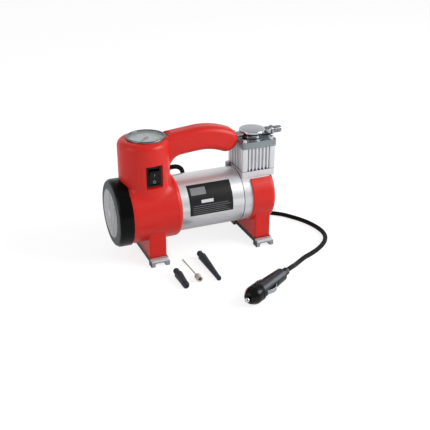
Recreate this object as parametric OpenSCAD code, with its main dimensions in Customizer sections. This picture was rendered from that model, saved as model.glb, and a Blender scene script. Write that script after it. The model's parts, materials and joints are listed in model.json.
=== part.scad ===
// Portable 12 V air compressor with work lamp, pressure gauge, carrying handle and nozzle adapters.
// Millimetres. +X runs along the motor axis from the lamp to the cylinder, -Y is the switch side,
// +Z is up. The origin is on the floor under the motor axis, near the middle between the foot rails.

/* [Layout] */
// Height of the motor and crank axis above the floor
axis_z = 53; // [50:0.5:60]
// Distance between the foot rails
foot_span = 120; // [115:1:126]
// Middle between the foot rails, measured from the origin
foot_mid_x = 1.5; // [0:0.5:2]
// Distance of the cylinder's axis inside the right foot
cylinder_inset = 2; // [0:0.5:3]
// Clearance between fixed pieces that fit into each other
fit = 0.15; // [0.1:0.01:0.2]
// Radial clearance of a running shaft
run_fit = 0.05; // [0.02:0.01:0.09]
// Gap that moving pieces keep from fixed ones
gap = 0.3; // [0.2:0.05:0.5]

/* [Motor] */
// Outer diameter of the motor tube
motor_d = 60; // [57:0.5:62]
// Wall of the motor tube
motor_wall = 2; // [1.5:0.1:2.5]
// Length of the motor tube held inside the housing collar
motor_seat_l = 16.2; // [12:0.2:17]
// Diameter of the motor shaft
shaft_d = 8; // [7:0.5:9]
// Radial thickness of the field magnets
magnet_t = 5.5; // [4:0.5:6.5]
// Angle that each field magnet covers
magnet_arc = 130; // [100:5:150]
// Air gap between magnets and armature
air_gap = 0.7; // [0.5:0.1:1]
// Length of the armature stack
armature_l = 36; // [30:1:38]
// Number of armature slots
armature_slots = 10; // [8:1:12]
// Width of an armature slot
armature_slot_w = 3; // [2:0.1:3.4]
// Diameter of the commutator
commutator_d = 17; // [15:0.5:19]
// Length of the commutator
commutator_l = 10; // [8:0.5:12]
// Outer diameter of the front bearing
bearing_d = 22; // [20:0.5:24]
// Width of the front bearing
bearing_w = 7; // [6:0.5:8]
// Outer diameter of the rear bearing
rear_bearing_d = 16; // [15:0.5:18]

/* [Housing] */
// Wall of the housing around the lamp and in the column
housing_wall = 2.5; // [2:0.1:3]
// Step from the motor tube out to the barrel's skin
collar_step = 4; // [3:0.1:5]
// Length of the barrel from the lamp bezel to its open end
barrel_l = 53.7; // [51:0.1:56]
// Barrel's open end, measured from the gauge axis
collar_reach = 27.7; // [25:0.1:29]
// Radius on the barrel's open end
barrel_edge = 5; // [3:0.5:5.5]
// Diameter of the gauge column
column_d = 53; // [52:0.5:56]
// Offset of the column's axis from the gauge axis, towards the lamp
column_shift = 3.2; // [2:0.1:3.6]
// Radius on the column's shoulder
column_edge = 6.5; // [4:0.5:7]
// Step from the handle's crest down to the column's top
column_drop = 5.5; // [5:0.1:8]
// Width of a leg along the motor axis
leg_w = 18.5; // [17:0.5:19.5]
// Depth of the left leg from front to back
leg_d = 58; // [54:1:60]
// Radius on a leg's upright edges
leg_edge = 2; // [1:0.5:3]
// Diameter of a housing screw
screw_d = 3; // [2.5:0.1:3.2]
// Diameter of a housing screw's head
screw_head_d = 5.6; // [5:0.1:6]
// Length of a housing screw below its head
screw_l = 14; // [12:0.5:15]

/* [Handle] */
// Room for the fingers between motor and handle
finger_gap = 27.6; // [26:0.2:32]
// Height of the handle's section
handle_h = 25.2; // [23:0.2:27]
// Width of the handle's section
handle_w = 22; // [20:0.5:25]
// Radius on the handle's edges
handle_edge = 7; // [5:0.5:8]
// Slope of the handle's straight stretch towards the column
handle_slope = 5.4; // [4:0.2:7]
// Radius under the handle where it meets the column
handle_fillet = 14.5; // [12:0.5:17]
// Width of the clear rim between gauge bezel and handle
handle_rim = 2.8; // [2:0.2:3.5]
// Radius on the handle's upper corner at the gauge
handle_corner = 2; // [1.5:0.1:2.5]

/* [Lamp] */
// Length of the lamp bezel in front of the barrel
lamp_l = 15; // [13:0.5:17]
// Step from the barrel's skin out to the bezel
lamp_step = 1.65; // [1:0.05:2.5]
// Radius on the bezel's front edge
lamp_edge = 5; // [3:0.5:6]
// Diameter of the lens that shows
lens_d = 47.2; // [44:0.2:48]
// Thickness of the lens rim
lens_t = 2; // [1.6:0.1:2.6]
// Rise of the lens dome over its rim
lens_rise = 2.5; // [1.5:0.1:3.2]
// Depth of the reflector dish
reflector_h = 19; // [16:0.5:21]
// Wall of the reflector
reflector_t = 1.2; // [1:0.1:1.5]
// Diameter of the bulb's base
bulb_d = 9; // [8:0.5:10]

/* [Gauge] */
// Outer diameter of the gauge bezel
gauge_d = 40.4; // [38:0.2:41]
// Height of the gauge bezel over the column
gauge_rise = 2; // [1.8:0.1:3.5]
// Depth of the gauge case under the column's top
gauge_depth = 14.5; // [13:0.5:15]
// Wall of the gauge case
gauge_wall = 1.2; // [1:0.1:1.5]
// Outer diameter of the tube that feeds the gauge
gauge_tube_d = 4; // [3:0.1:4.6]

/* [Switch] */
// Height of the switch's middle above the motor's top
switch_rise = 13.2; // [12.5:0.1:14]
// Width of the switch bezel
switch_w = 15; // [14:0.1:15.5]
// Height of the switch bezel
switch_h = 21; // [20:0.1:21.5]
// Thickness of the switch bezel
switch_t = 1.7; // [1.2:0.1:2.2]
// Depth of the switch body behind the bezel
switch_depth = 15; // [13:0.5:17]
// Room round the bezel in its pocket
pocket_room = 1.5; // [1:0.1:1.8]
// Depth of the pocket under the column's front
pocket_depth = 4.8; // [4:0.1:5.2]
// Tilt of the rocker to each side
rocker_tilt = 8; // [6:0.5:9]

/* [Feet] */
// Width of a foot rail
rail_w = 20; // [19.5:0.5:22]
// Length of a foot rail
rail_l = 70; // [66:0.5:72]
// Height of a foot rail
rail_h = 7.2; // [6.6:0.1:8]
// Thickness of a rail's top
rail_t = 3.2; // [2.8:0.1:4]
// Thickness of the rubber pad on a rail
pad_t = 1; // [0.8:0.1:2]
// Distance between the two screws of a rail
foot_screw_pitch = 36; // [32:1:38]

/* [Crankcase] */
// Length of the crankcase in front of its pad
crank_lip = 1.4; // [0.4:0.1:2.5]
// Length of the crankcase behind the cylinder axis
crank_back = 12.6; // [11.5:0.1:14]
// Wall of the crankcase
crank_wall = 4; // [3.4:0.1:4.5]
// Rise of the cylinder pad over the crankcase's crown
pad_rise = 0.4; // [0.3:0.1:2]
// Height of the pad's upright sides
pad_h = 7.4; // [7:0.1:9]
// Step from the crankcase out to its red cover
cover_step = 2.2; // [1.8:0.1:2.8]
// Thickness of the cover's end wall
cover_t = 3; // [2.5:0.1:3.5]
// Length of crankcase that shows before the cover
cover_start = 10.2; // [9:0.1:11]
// Radius on the cover's end
cover_edge = 4.4; // [3:0.1:4.6]
// Depth of the right leg from front to back
cover_leg_d = 56; // [52:1:58]
// Throw of the crank, half the stroke
crank_throw = 7; // [6:0.25:7.5]
// Thickness of the crank disc
crank_t = 5; // [4:0.25:5.5]
// Diameter of the crank pin
crank_pin_d = 6; // [5:0.25:6.5]

/* [Cylinder] */
// Side of the square cylinder, pad and head
block_w = 38; // [37.5:0.1:40]
// Height of the finned cylinder
fin_h = 24.6; // [23:0.1:26]
// Bore of the cylinder
bore_d = 25; // [23:0.25:26]
// Wall of the cylinder round its bore
bore_wall = 2.7; // [2.4:0.1:3]
// Thickness of a fin
fin_t = 1.8; // [1.4:0.1:2.2]
// Number of fins on each side, between the corner posts
fin_count = 6; // [4:1:6]
// Side of a corner post
post_w = 6.4; // [6:0.1:6.8]
// Length of the cylinder's spigot in the crankcase
spigot_l = 7; // [6:0.25:8]
// Thickness of the base gasket
gasket_t = 0.5; // [0.4:0.05:0.8]
// Length of the piston
piston_l = 13; // [12:0.25:14]
// Height of the piston above its wrist pin
piston_crown = 7.5; // [7:0.25:8]
// Diameter of the wrist pin
wrist_pin_d = 5; // [4:0.25:5.5]
// Thickness of the connecting rod
rod_t = 8; // [7:0.25:8.5]

/* [Head] */
// Thickness of the valve plate
valve_plate_t = 1.5; // [1.2:0.1:2]
// Reach of the head and valve plate past the fins, on the outlet's side
head_reach = 2; // [1:0.1:4]
// Thickness of the head plate
head_t = 5.5; // [5:0.1:7]
// Radius on the upright edges of head and plate
head_edge = 3.4; // [2.5:0.1:4]
// Diameter of the head cap's neck
neck_d = 22; // [20:0.2:23]
// Height of the head cap's neck
neck_h = 6.5; // [6:0.1:7.5]
// Diameter of the head cap's disc
cap_d = 28; // [26:0.2:29]
// Thickness of the head cap's disc
cap_t = 2.4; // [2:0.1:3]
// Diameter of a head screw
head_screw_d = 3; // [2.5:0.1:3.4]
// Distance of a head screw from the block's faces
head_screw_inset = 3.8; // [3.6:0.1:4.2]
// Height of a head screw's head
head_screw_head_h = 3.2; // [2.5:0.1:4]
// Height of the air passages over the head plate
air_z = 4.4; // [4.2:0.1:4.8]
// Length of the nipple between handle and neck
nipple_l = 8; // [7.8:0.1:9]
// Outer diameter of the nipple
nipple_d = 6.6; // [6.2:0.1:7]

/* [Outlet] */
// Diameter of the threaded stub
outlet_d = 7.7; // [7:0.1:8.2]
// Length of the threaded stub
outlet_thread_l = 9.5; // [8:0.5:13]
// Diameter of the outlet's flange
outlet_flange_d = 10.4; // [9.5:0.1:11.5]
// Length of the outlet's flange
outlet_flange_l = 3; // [2:0.1:4]
// Width over flats of the outlet's hexagon
outlet_hex_w = 7.8; // [7:0.1:8.2]
// Length of the outlet's hexagon
outlet_hex_l = 7.1; // [6:0.1:9]
// Bore of the outlet
outlet_bore = 3.4; // [2.5:0.1:4]

/* [Cord] */
// Diameter of the power cord
cord_d = 5; // [4.6:0.1:5.2]
// Diameter of the cord boot at the housing
boot_d = 7.2; // [6.4:0.1:7.4]
// Length of the cord boot outside the column
boot_l = 10; // [8:0.5:14]
// Distance between turns of the coil
coil_pitch = 5.6; // [5.5:0.05:6]
// Height between layers of the coil
coil_layer = 5.5; // [5.45:0.05:6]
// Radius of the coil's outermost turn
coil_r = 38; // [36:0.5:40]
// Width of the tie round the coil
tie_w = 10; // [8:0.5:14]
// Thickness of the tie
tie_t = 0.8; // [0.6:0.1:1.2]

/* [Plug] */
// Diameter of the plug's front cap
plug_cap_d = 18.4; // [17.8:0.2:20]
// Length of the plug's front cap
plug_cap_l = 17; // [15:0.5:19]
// Diameter of the plug's body at the cap
plug_d = 16.6; // [16:0.1:17.4]
// Diameter of the plug's body at its rear
plug_rear_d = 13.4; // [12.5:0.1:15]
// Length of the plug's body
plug_l = 41; // [38:0.5:46]
// Diameter of the plug's cord collar
plug_collar_d = 8; // [7.4:0.1:9]
// Length of the plug's cord collar
plug_collar_l = 10; // [8:0.5:13]
// Reach of the plug's centre contact
plug_tip_l = 5; // [4:0.25:6]
// Diameter of the plug's centre contact
plug_tip_d = 5; // [4.5:0.1:5.6]
// Span over the plug's side contacts
plug_contact_span = 22; // [20.5:0.1:22.5]

/* [Adapters] */
// Thread diameter of the adapters
adapter_thread_d = 6.4; // [6:0.1:7]
// Thread length of the adapters
adapter_thread_l = 5; // [4:0.5:7]
// Collar diameter of the nozzles
nozzle_d = 9; // [8.5:0.1:10]
// Length of the short nozzle behind its thread
short_nozzle_l = 27; // [24:0.5:32]
// Tip diameter of the short nozzle
short_tip_d = 6.6; // [6:0.1:7.4]
// Length of the long nozzle behind its thread
long_nozzle_l = 51; // [46:1:58]
// Tip diameter of the long nozzle
long_tip_d = 4.4; // [4:0.1:5]
// Length of the ball needle's tube
needle_l = 42; // [36:1:48]
// Diameter of the ball needle's tube
needle_d = 1.8; // [1.5:0.1:2.2]
// Diameter of the ball needle's hub
needle_hub_d = 6.4; // [6:0.1:7]
// Length of the ball needle's hub
needle_hub_l = 9; // [8:0.5:11]

/* [Hidden] */
$fn = 64;
// Small overlap that lets a cut break cleanly through a face
cut = 1;

// Places along the motor axis
gauge_x = foot_mid_x - foot_span / 2;
foot_x1 = foot_mid_x + foot_span / 2;
cylinder_x = foot_x1 - cylinder_inset;
barrel_x1 = gauge_x + collar_reach;
barrel_x0 = barrel_x1 - barrel_l;
lamp_x0 = barrel_x0 - lamp_l;
column_x = gauge_x - column_shift;
motor_x0 = barrel_x1 - motor_seat_l;
crank_x0 = cylinder_x - block_w / 2 - crank_lip;
crank_x1 = cylinder_x + crank_back;
cover_x0 = crank_x0 + cover_start;
cover_x1 = crank_x1 + fit + cover_t;

// Radii about the motor axis
motor_r = motor_d / 2;
motor_bore_r = motor_r - motor_wall;
barrel_r = motor_r + collar_step;
lamp_r = barrel_r + lamp_step;
cover_r = motor_r + cover_step;
armature_r = motor_bore_r - magnet_t - air_gap;
shaft_r = shaft_d / 2;
lens_r = lens_d / 2;

// Heights
leg_z = rail_h + pad_t;
handle_r = motor_r + finger_gap + handle_h / 2;
column_top = axis_z + handle_r + handle_h / 2 - column_drop;
gauge_top = column_top + gauge_rise;
switch_z = axis_z + motor_r + switch_rise;
pad_top = axis_z + motor_r + pad_rise;
fin_z0 = pad_top + gasket_t;
fin_z1 = fin_z0 + fin_h;
head_z0 = fin_z1 + valve_plate_t;
head_z1 = head_z0 + head_t;
nipple_z = head_z1 + air_z;

// Handle: an arc about the motor axis, a straight stretch and a fillet into the column
column_r = column_d / 2;
handle_turn = 90 + handle_slope;
handle_end_x = cylinder_x - neck_d / 2 - nipple_l;
handle_end_turn = acos((handle_end_x - handle_h / 2) / handle_r);
fillet_x = column_x + column_r + handle_fillet - 0.6;
fillet_z = (handle_r - handle_h / 2 - handle_fillet - fillet_x * cos(handle_turn)) / sin(handle_turn);
handle_straight = (handle_r * cos(handle_turn) - gauge_x - gauge_d / 2 + 4) / sin(handle_turn);
tube_turn = asin((nipple_z - axis_z) / handle_r);
tube_end_x = gauge_x + gauge_d / 2 - 1;
sleeve_t = 0.6;
sleeve_l = 1.5;
// Space between the nipple's shoulder and the cap's neck
nipple_gap = 0.5;
// Overlap of joined stretches, in millimetres or degrees, and the step between their skins
lap = 2;
seam = 0.05;
screw_drop = handle_h / 2 - screw_head_d / 2 - 1.6;
// Housing screws: place along the motor axis, height, and how far back the head sits
housing_screw_seats = [
    [handle_r * cos(handle_turn) - 7, axis_z + handle_r - screw_drop - 1, handle_w / 2 - 4],
    [handle_end_x - handle_h, axis_z + handle_r * sin(handle_end_turn) + 4 - screw_drop, handle_w / 2 - 4],
    [column_x - column_r + 7, switch_z + 7.5, 10],
    [barrel_x0 + 11, axis_z - barrel_r + 9.5, 14]
];

// Moving pieces
stroke = 2 * crank_throw;
brush_w = 6;
brush_reach = 18;
disc_rim = 9;
cover_screw_d = 2.5;
cover_screw_l = 7;
cover_head_d = 4.6;
cover_head_t = 1.6;
cover_head_depth = 1.9;
bourdon_room = 4.2;
rod_l = fin_z1 - 1 - piston_crown - crank_throw - axis_z;
crank_pin_z = axis_z - crank_throw;
wrist_z = crank_pin_z + rod_l;
rod_x0 = cylinder_x - rod_t / 2;
disc_x1 = rod_x0 - 3;
bore_r = bore_d / 2;
switch_y = -(column_r - pocket_depth);
rocker_pivot_y = switch_y + 1;
switch_wall = 1.9;

// Cord route: hand-chosen points from the boot to the coil and from the coil to the plug
cord_r = cord_d / 2;
boot_y = 22;
boot_z = axis_z + sqrt(pow(barrel_r + boot_d / 2 + 0.5, 2) - boot_y * boot_y);
boot_x0 = column_x + sqrt(column_r * column_r - boot_y * boot_y) - 7;
boot_x1 = boot_x0 + 7 + boot_l;
coil_x = 32;
coil_y = 76;
coil_z = tie_t + cord_r + 0.2;
coil_start = 180;
coil_exit = 20;
coil_turns = 14 + (coil_start - coil_exit) / 360;
coil_layers = 4;
coil_steps = 24;
coil_sides = 6;
tube_sides = 8;
plug_z = plug_cap_d / 2;
plug_turn = 210.8;
plug_rear = [50.8, -107.4, plug_z];
plug_dir = [cos(plug_turn), sin(plug_turn), 0];
lead_points = [
    [boot_x1, boot_y, boot_z], [boot_x1 + 5, boot_y, boot_z], [-27, 22, 84.4], [-22.2, 22, 84.9],
    [-17.9, 22.3, 84.1], [-14.3, 23.3, 82], [-11.7, 25, 78.8], [-10, 27.3, 74.6], [-8.9, 30, 69.4],
    [-8.1, 32.7, 62.8], [-7.5, 35, 55.4], [-7, 37, 46], [-6.6, 39, 35], [-6.5, 41, 24],
    [-6.5, 44.5, 14], [-6.5, 51, 7], [-6.2, 59, 4.2], [-6, 66, coil_z],
    [coil_x - coil_r, coil_y - cord_d, coil_z]
];
coil_out = coil_end_point() + cord_d * coil_end_dir();
tail_points = [
    coil_out, coil_out + 8 * coil_end_dir(), [75, 62, 15], [80.5, 52.5, 9], [88, 44, 4], [96, 38, 2.6],
    [105, 32, 2.6], [113, 25, 2.6], [120.5, 14.5, 2.6], [127, 3, 2.6], [131.8, -9.5, 2.6],
    [134.3, -22.5, 2.6], [134, -36, 2.6], [129.5, -48, 2.6], [121.5, -58, 2.6], [111, -66.5, 2.6],
    [99, -73.5, 2.6], [86, -79.5, 2.6], [76, -86, 2.8], [68, -93, 4.6], [61.5, -99.5, 7.5],
    plug_rear - cord_d * plug_dir, plug_rear
];

// Places of the loose adapters on the floor
short_nozzle_at = [-50, -62];
long_nozzle_at = [-14, -36];
ball_needle_at = [-33, -72.5];

// Vector helpers
function unit(v) = v / norm(v);
function tangent(p, i) = unit(p[min(i + 1, len(p) - 1)] - p[max(i - 1, 0)]);
function side_of(t) = unit(cross(t, abs(t[2]) > 0.9 ? [0, 1, 0] : [0, 0, 1]));

// Directions that carry a ring along the route with as little twist as possible
function frames(p, i = 0, last = []) =
    i == len(p) ? [] :
    let (t = tangent(p, i))
    let (s = i == 0 ? side_of(t) : unit(last - (last * t) * t))
    concat([[t, s, cross(t, s)]], frames(p, i + 1, s));

// Closed tube of n sides along the points p
module sweep(p, r, n) {
    f = frames(p);
    rings = [for (i = [0 : len(p) - 1], k = [0 : n - 1])
        p[i] + r * (cos(360 * k / n) * f[i][1] + sin(360 * k / n) * f[i][2])];
    sides = [for (i = [0 : len(p) - 2], k = [0 : n - 1])
        let (a = i * n + k, b = i * n + (k + 1) % n) each [[a, b + n, b], [a, a + n, b + n]]];
    last = (len(p) - 1) * n;
    ends = [for (k = [1 : n - 2]) each [[0, k, k + 1], [last, last + k + 1, last + k]]];
    polyhedron(points = rings, faces = concat(sides, ends), convexity = 6);
}

// Coil: radius, height and place after a number of turns. The spiral runs in and out at a steady rate,
// and climbs one layer in the half turn round each reversal.
function layer_turns() = coil_turns / coil_layers;
function coil_radius(t) =
    let (u = t / layer_turns())
    let (k = min(floor(u), coil_layers - 1))
    coil_r - coil_pitch * layer_turns() * (k % 2 == 0 ? u - k : 1 - u + k);
function ease(s) = let (c = max(0, min(1, s))) c * c * (3 - 2 * c);
function coil_height(t) =
    coil_z + coil_layer * sum([for (k = [1 : coil_layers - 1]) ease((t - k * layer_turns()) * 2 + 0.5)]);
function sum(v, i = 0) = i == len(v) ? 0 : v[i] + sum(v, i + 1);
function coil_point(t) =
    let (a = coil_start - 360 * t)
    [coil_x + coil_radius(t) * cos(a), coil_y + coil_radius(t) * sin(a), coil_height(t)];
function coil_end_point() = coil_point(coil_turns);
function coil_end_dir() = [sin(coil_exit), -cos(coil_exit), 0];
function coil_route() = concat(
    [coil_point(0) - [0, cord_d, 0]],
    [for (i = [0 : round(coil_turns * coil_steps)])
        coil_point(i * coil_turns / round(coil_turns * coil_steps))],
    [coil_out]
);
// Least gap of the coil to itself, between points that lie at least half a turn apart
function coil_gap(p) = min([for (i = [0 : len(p) - 1], k = [i + coil_steps / 2 : 1 : len(p) - 1])
    norm(p[i] - p[k])]) - cord_d;

// Shape helpers
module rounded_rect(w, h, r) {
    square([w - 2 * r, h], center = true);
    square([w, h - 2 * r], center = true);
    for (sx = [-1, 1], sy = [-1, 1])
        translate([sx * (w / 2 - r), sy * (h / 2 - r)]) circle(r);
}
module along_x(x) {
    translate([x, 0, axis_z]) rotate([0, 90, 0]) children();
}
module x_rod(x0, x1, r, y = 0, z = axis_z) {
    translate([x0, y, z]) rotate([0, 90, 0]) cylinder(h = x1 - x0, r = r);
}
module x_ring(x0, x1, r, hole) {
    difference() {
        x_rod(x0, x1, r);
        x_rod(x0 - cut, x1 + cut, hole);
    }
}
module y_rod(x, z, y0, y1, r) {
    translate([x, y0, z]) rotate([-90, 0, 0]) cylinder(h = y1 - y0, r = r);
}
module z_rod(x, y, z0, z1, r) {
    translate([x, y, z0]) cylinder(h = z1 - z0, r = r);
}
module block(x0, x1, y0, y1, z0, z1) {
    translate([x0, y0, z0]) cube([x1 - x0, y1 - y0, z1 - z0]);
}
// Round bar along local Z, with its far edge rounded
module drum(r, l, edge) {
    rotate_extrude() intersection() {
        union() {
            square([r, l - edge]);
            square([r - edge, l]);
            translate([r - edge, l - edge]) circle(edge);
        }
        square([r, l]);
    }
}
module upright_plate(w, d, r, z0, z1) {
    translate([0, 0, z0]) linear_extrude(z1 - z0) rounded_rect(w, d, r);
}
module corners(pitch) {
    for (sx = [-1, 1], sy = [-1, 1]) translate([sx * pitch, sy * pitch]) children();
}
module at_cylinder() {
    translate([cylinder_x, 0, 0]) children();
}
module at_feet() {
    for (x = [gauge_x, foot_x1]) translate([x, 0, 0]) children();
}
// Frame whose X and Y are the world's X and Z about the motor axis, for shapes swept in that plane
module side_plane() {
    translate([0, 0, axis_z]) rotate([90, 0, 0]) children();
}

// Housing
module handle_section(inset = 0) {
    rounded_rect(handle_h - 2 * inset, handle_w - 2 * inset, handle_edge - inset);
}
module handle_run(start, l) {
    rotate([0, 0, handle_turn]) translate([handle_r, 0, 0]) rotate([-90, 0, 0])
        translate([0, 0, start]) linear_extrude(l) children();
}
// Arc over the motor, straight stretch, rounded free end and the fillet that bends down into the column.
// Each stretch starts inside the one before it, a seam smaller.
module handle() {
    side_plane() {
        rotate([0, 0, handle_end_turn])
            rotate_extrude(angle = handle_turn - handle_end_turn) translate([handle_r, 0]) handle_section();
        handle_run(-lap, handle_straight + lap) handle_section(seam);
        rotate([0, 0, handle_end_turn]) translate([handle_r, 0, 0]) rotate([0, 0, 180 - lap])
            rotate_extrude(angle = 180 + 2 * lap) intersection() {
                handle_section(seam);
                translate([0, -handle_w]) square([handle_h, 2 * handle_w]);
            }
        translate([fillet_x, fillet_z, 0]) rotate([0, 0, handle_turn - lap])
            rotate_extrude(angle = 180 - handle_turn + lap) translate([handle_fillet + handle_h / 2, 0])
                intersection() {
                    handle_section(2 * seam);
                    translate([-handle_edge - handle_h / 2, -handle_w]) square([handle_h, 2 * handle_w]);
                }
    }
}
// Round clearing over the column's top, with a rounded corner where it meets the handle
module gauge_clearing() {
    r = gauge_d / 2 + handle_rim;
    top = axis_z + handle_r + handle_h / 2;
    corner_z = max(column_top, top - 4.5 - handle_corner);
    translate([gauge_x, 0, 0]) rotate_extrude() difference() {
        translate([0, column_top]) square([r + handle_corner, top + cut - column_top]);
        translate([r, column_top - cut]) square([handle_corner + cut, corner_z - column_top + cut]);
        translate([r + handle_corner, corner_z]) circle(handle_corner);
    }
}
// The column's front overhangs the barrel and is cut back round the lamp bezel
module housing_skin() {
    difference() {
        union() {
            along_x(barrel_x0) drum(barrel_r, barrel_l, barrel_edge);
            translate([column_x, 0, axis_z]) drum(column_r, column_top - axis_z, column_edge);
            translate([gauge_x, 0, 0]) upright_plate(leg_w, leg_d, leg_edge, leg_z, axis_z);
            difference() {
                handle();
                gauge_clearing();
            }
        }
        x_rod(lamp_x0 - cut, barrel_x0, lamp_r + gap);
    }
}
module housing_room() {
    pocket_w = switch_w + 2 * pocket_room;
    pocket_h = switch_h + 2 * pocket_room;
    floor_z = axis_z + barrel_r + 1;
    difference() {
        union() {
            x_rod(barrel_x0 - cut, motor_x0 - 3, barrel_r - housing_wall);
            z_rod(column_x, 0, floor_z, column_top - gauge_depth, column_r - housing_wall);
            z_rod(gauge_x - 3, boot_y - 9, axis_z, floor_z + cut, 9);
            x_rod(gauge_x - 5, boot_x0 + cut, cord_r + fit, boot_y, boot_z);
        }
        block(gauge_x - pocket_w / 2 - housing_wall, gauge_x + pocket_w / 2 + housing_wall,
            -column_r, switch_y + housing_wall,
            switch_z - pocket_h / 2 - housing_wall, switch_z + pocket_h / 2 + housing_wall);
        for (s = housing_screw_seats)
            y_rod(s[0], s[1], -barrel_r, barrel_r, screw_head_d / 2 + housing_wall / 2);
    }
    x_rod(motor_x0 - 3 - cut, motor_x0 + cut, motor_bore_r - 1);
    x_rod(motor_x0, barrel_x1 + cut, motor_r + fit);
    z_rod(gauge_x, 0, column_top - gauge_depth - fit, column_top + cut, gauge_case_r() + fit);
    translate([gauge_x, 0, switch_z]) {
        translate([0, -column_r - cut, 0]) rotate([-90, 0, 0]) linear_extrude(pocket_depth + cut)
            rounded_rect(pocket_w, pocket_h, 1.5);
        block(-switch_body_w() / 2 - fit, switch_body_w() / 2 + fit,
            switch_y - cut, switch_y + switch_depth + fit,
            -switch_body_h() / 2 - fit, switch_body_h() / 2 + fit);
    }
    x_rod(boot_x0, boot_x1, boot_d / 2 + fit, boot_y, boot_z);
    gauge_channel();
    x_rod(handle_end_x - 6, handle_end_x + cut, nipple_d / 2 + fit, 0, nipple_z);
    for (s = housing_screw_seats) {
        y_rod(s[0], s[1], s[2] - screw_l - fit, s[2] + cut, screw_d / 2 + fit);
        y_rod(s[0], s[1], s[2], barrel_r, screw_head_d / 2 + fit);
    }
    for (s = [-1, 1])
        z_rod(gauge_x, s * foot_screw_pitch / 2, leg_z - cut, foot_screw_z1() + fit, screw_d / 2 + fit);
}
module housing_half(side) {
    intersection() {
        difference() {
            housing_skin();
            housing_room();
        }
        block(lamp_x0, cylinder_x,
            min(0, side * 2 * barrel_r), max(0, side * 2 * barrel_r), 0, 2 * column_top);
    }
}
module housing_front() {
    color("#cf2e28") housing_half(-1);
}
module housing_back() {
    color("#cf2e28") housing_half(1);
}
module housing_screws() {
    color("#3a3a3c") for (s = housing_screw_seats) {
        y_rod(s[0], s[1], s[2] - screw_l, s[2], screw_d / 2);
        y_rod(s[0], s[1], s[2], s[2] + 2, screw_head_d / 2);
    }
}

// Lamp
module lamp_bezel() {
    skirt_r = barrel_r - housing_wall - fit;
    color("#17181a") along_x(lamp_x0) rotate_extrude() difference() {
        union() {
            translate([0, lamp_edge]) square([lamp_r, lamp_l - lamp_edge]);
            square([lamp_r - lamp_edge, lamp_l]);
            translate([lamp_r - lamp_edge, lamp_edge]) circle(lamp_edge);
            square([skirt_r, lamp_l + 6]);
        }
        translate([0, -cut]) square([lens_r, lamp_l + 6 + 2 * cut]);
        translate([0, 2]) square([lens_r + 1.4, lamp_l + 6]);
    }
}
// The lens dome bulges forwards through the bezel
module lamp_lens() {
    dome_r = (lens_r * lens_r + lens_rise * lens_rise) / (2 * lens_rise);
    color("#d8dde2", 0.6) along_x(lamp_x0 + 2) {
        cylinder(h = lens_t, r = lens_r + 1.4 - fit);
        rotate_extrude() intersection() {
            translate([0, dome_r - lens_rise]) circle(dome_r, $fn = 900);
            translate([0, -lens_rise - cut]) square([lens_r - fit, lens_rise + cut + lens_t / 2]);
        }
    }
}
module lamp_reflector() {
    rim_r = lens_r - 0.4;
    dish_r = (rim_r * rim_r + reflector_h * reflector_h) / (2 * reflector_h);
    color("#dfe3e6") along_x(lamp_x0 + 2 + lens_t) difference() {
        union() {
            cylinder(h = reflector_t, r = lens_r + 1.4 - fit);
            intersection() {
                translate([0, 0, reflector_h - dish_r]) sphere(dish_r + reflector_t);
                cylinder(h = reflector_h + reflector_t, r = lens_r + 1);
            }
            cylinder(h = reflector_h + 6, r = bulb_d / 2 + 1.6);
        }
        intersection() {
            translate([0, 0, reflector_h - dish_r]) sphere(dish_r);
            translate([0, 0, -cut]) cylinder(h = reflector_h + 2 * cut, r = rim_r);
        }
        translate([0, 0, -cut]) cylinder(h = reflector_h + 6 + 2 * cut, r = bulb_d / 2 + fit);
    }
}
module lamp_bulb() {
    color("#e8e2c8") along_x(lamp_x0 + 2 + lens_t) {
        translate([0, 0, reflector_h - 1]) cylinder(h = 11, r = bulb_d / 2);
        translate([0, 0, reflector_h - 5]) sphere(bulb_d / 2);
        translate([0, 0, reflector_h - 5]) cylinder(h = 5, r = bulb_d / 2);
    }
}
module lamp_socket() {
    color("#232427") along_x(lamp_x0 + 2 + lens_t + reflector_h + 2) difference() {
        cylinder(h = 12, r = bulb_d / 2 + 3.4);
        translate([0, 0, -cut]) cylinder(h = 4 + cut, r = bulb_d / 2 + 1.6 + fit);
        translate([0, 0, -cut]) cylinder(h = 8 + cut, r = bulb_d / 2 + fit);
    }
}

// Gauge
function gauge_case_r() = gauge_d / 2 - 1.3;
function dial_z() = column_top - 1.6;
module at_gauge() {
    translate([gauge_x, 0, 0]) children();
}
module gauge_case() {
    z0 = column_top - gauge_depth;
    color("#b9bcc0") at_gauge() difference() {
        cylinder_from(z0, column_top + 0.2, gauge_case_r());
        cylinder_from(z0 + gauge_wall, column_top + 2, gauge_case_r() - gauge_wall - 1.2);
        cylinder_from(dial_z() - 0.6, column_top + 2, gauge_case_r() - gauge_wall);
    }
}
module cylinder_from(z0, z1, r) {
    translate([0, 0, z0]) cylinder(h = z1 - z0, r = r);
}
module gauge_dial() {
    color("#f4f4f2") at_gauge() difference() {
        cylinder_from(dial_z() - 0.6, dial_z(), gauge_case_r() - gauge_wall - fit);
        cylinder_from(dial_z() - 2, dial_z() + 1, 1.2);
    }
}
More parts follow.
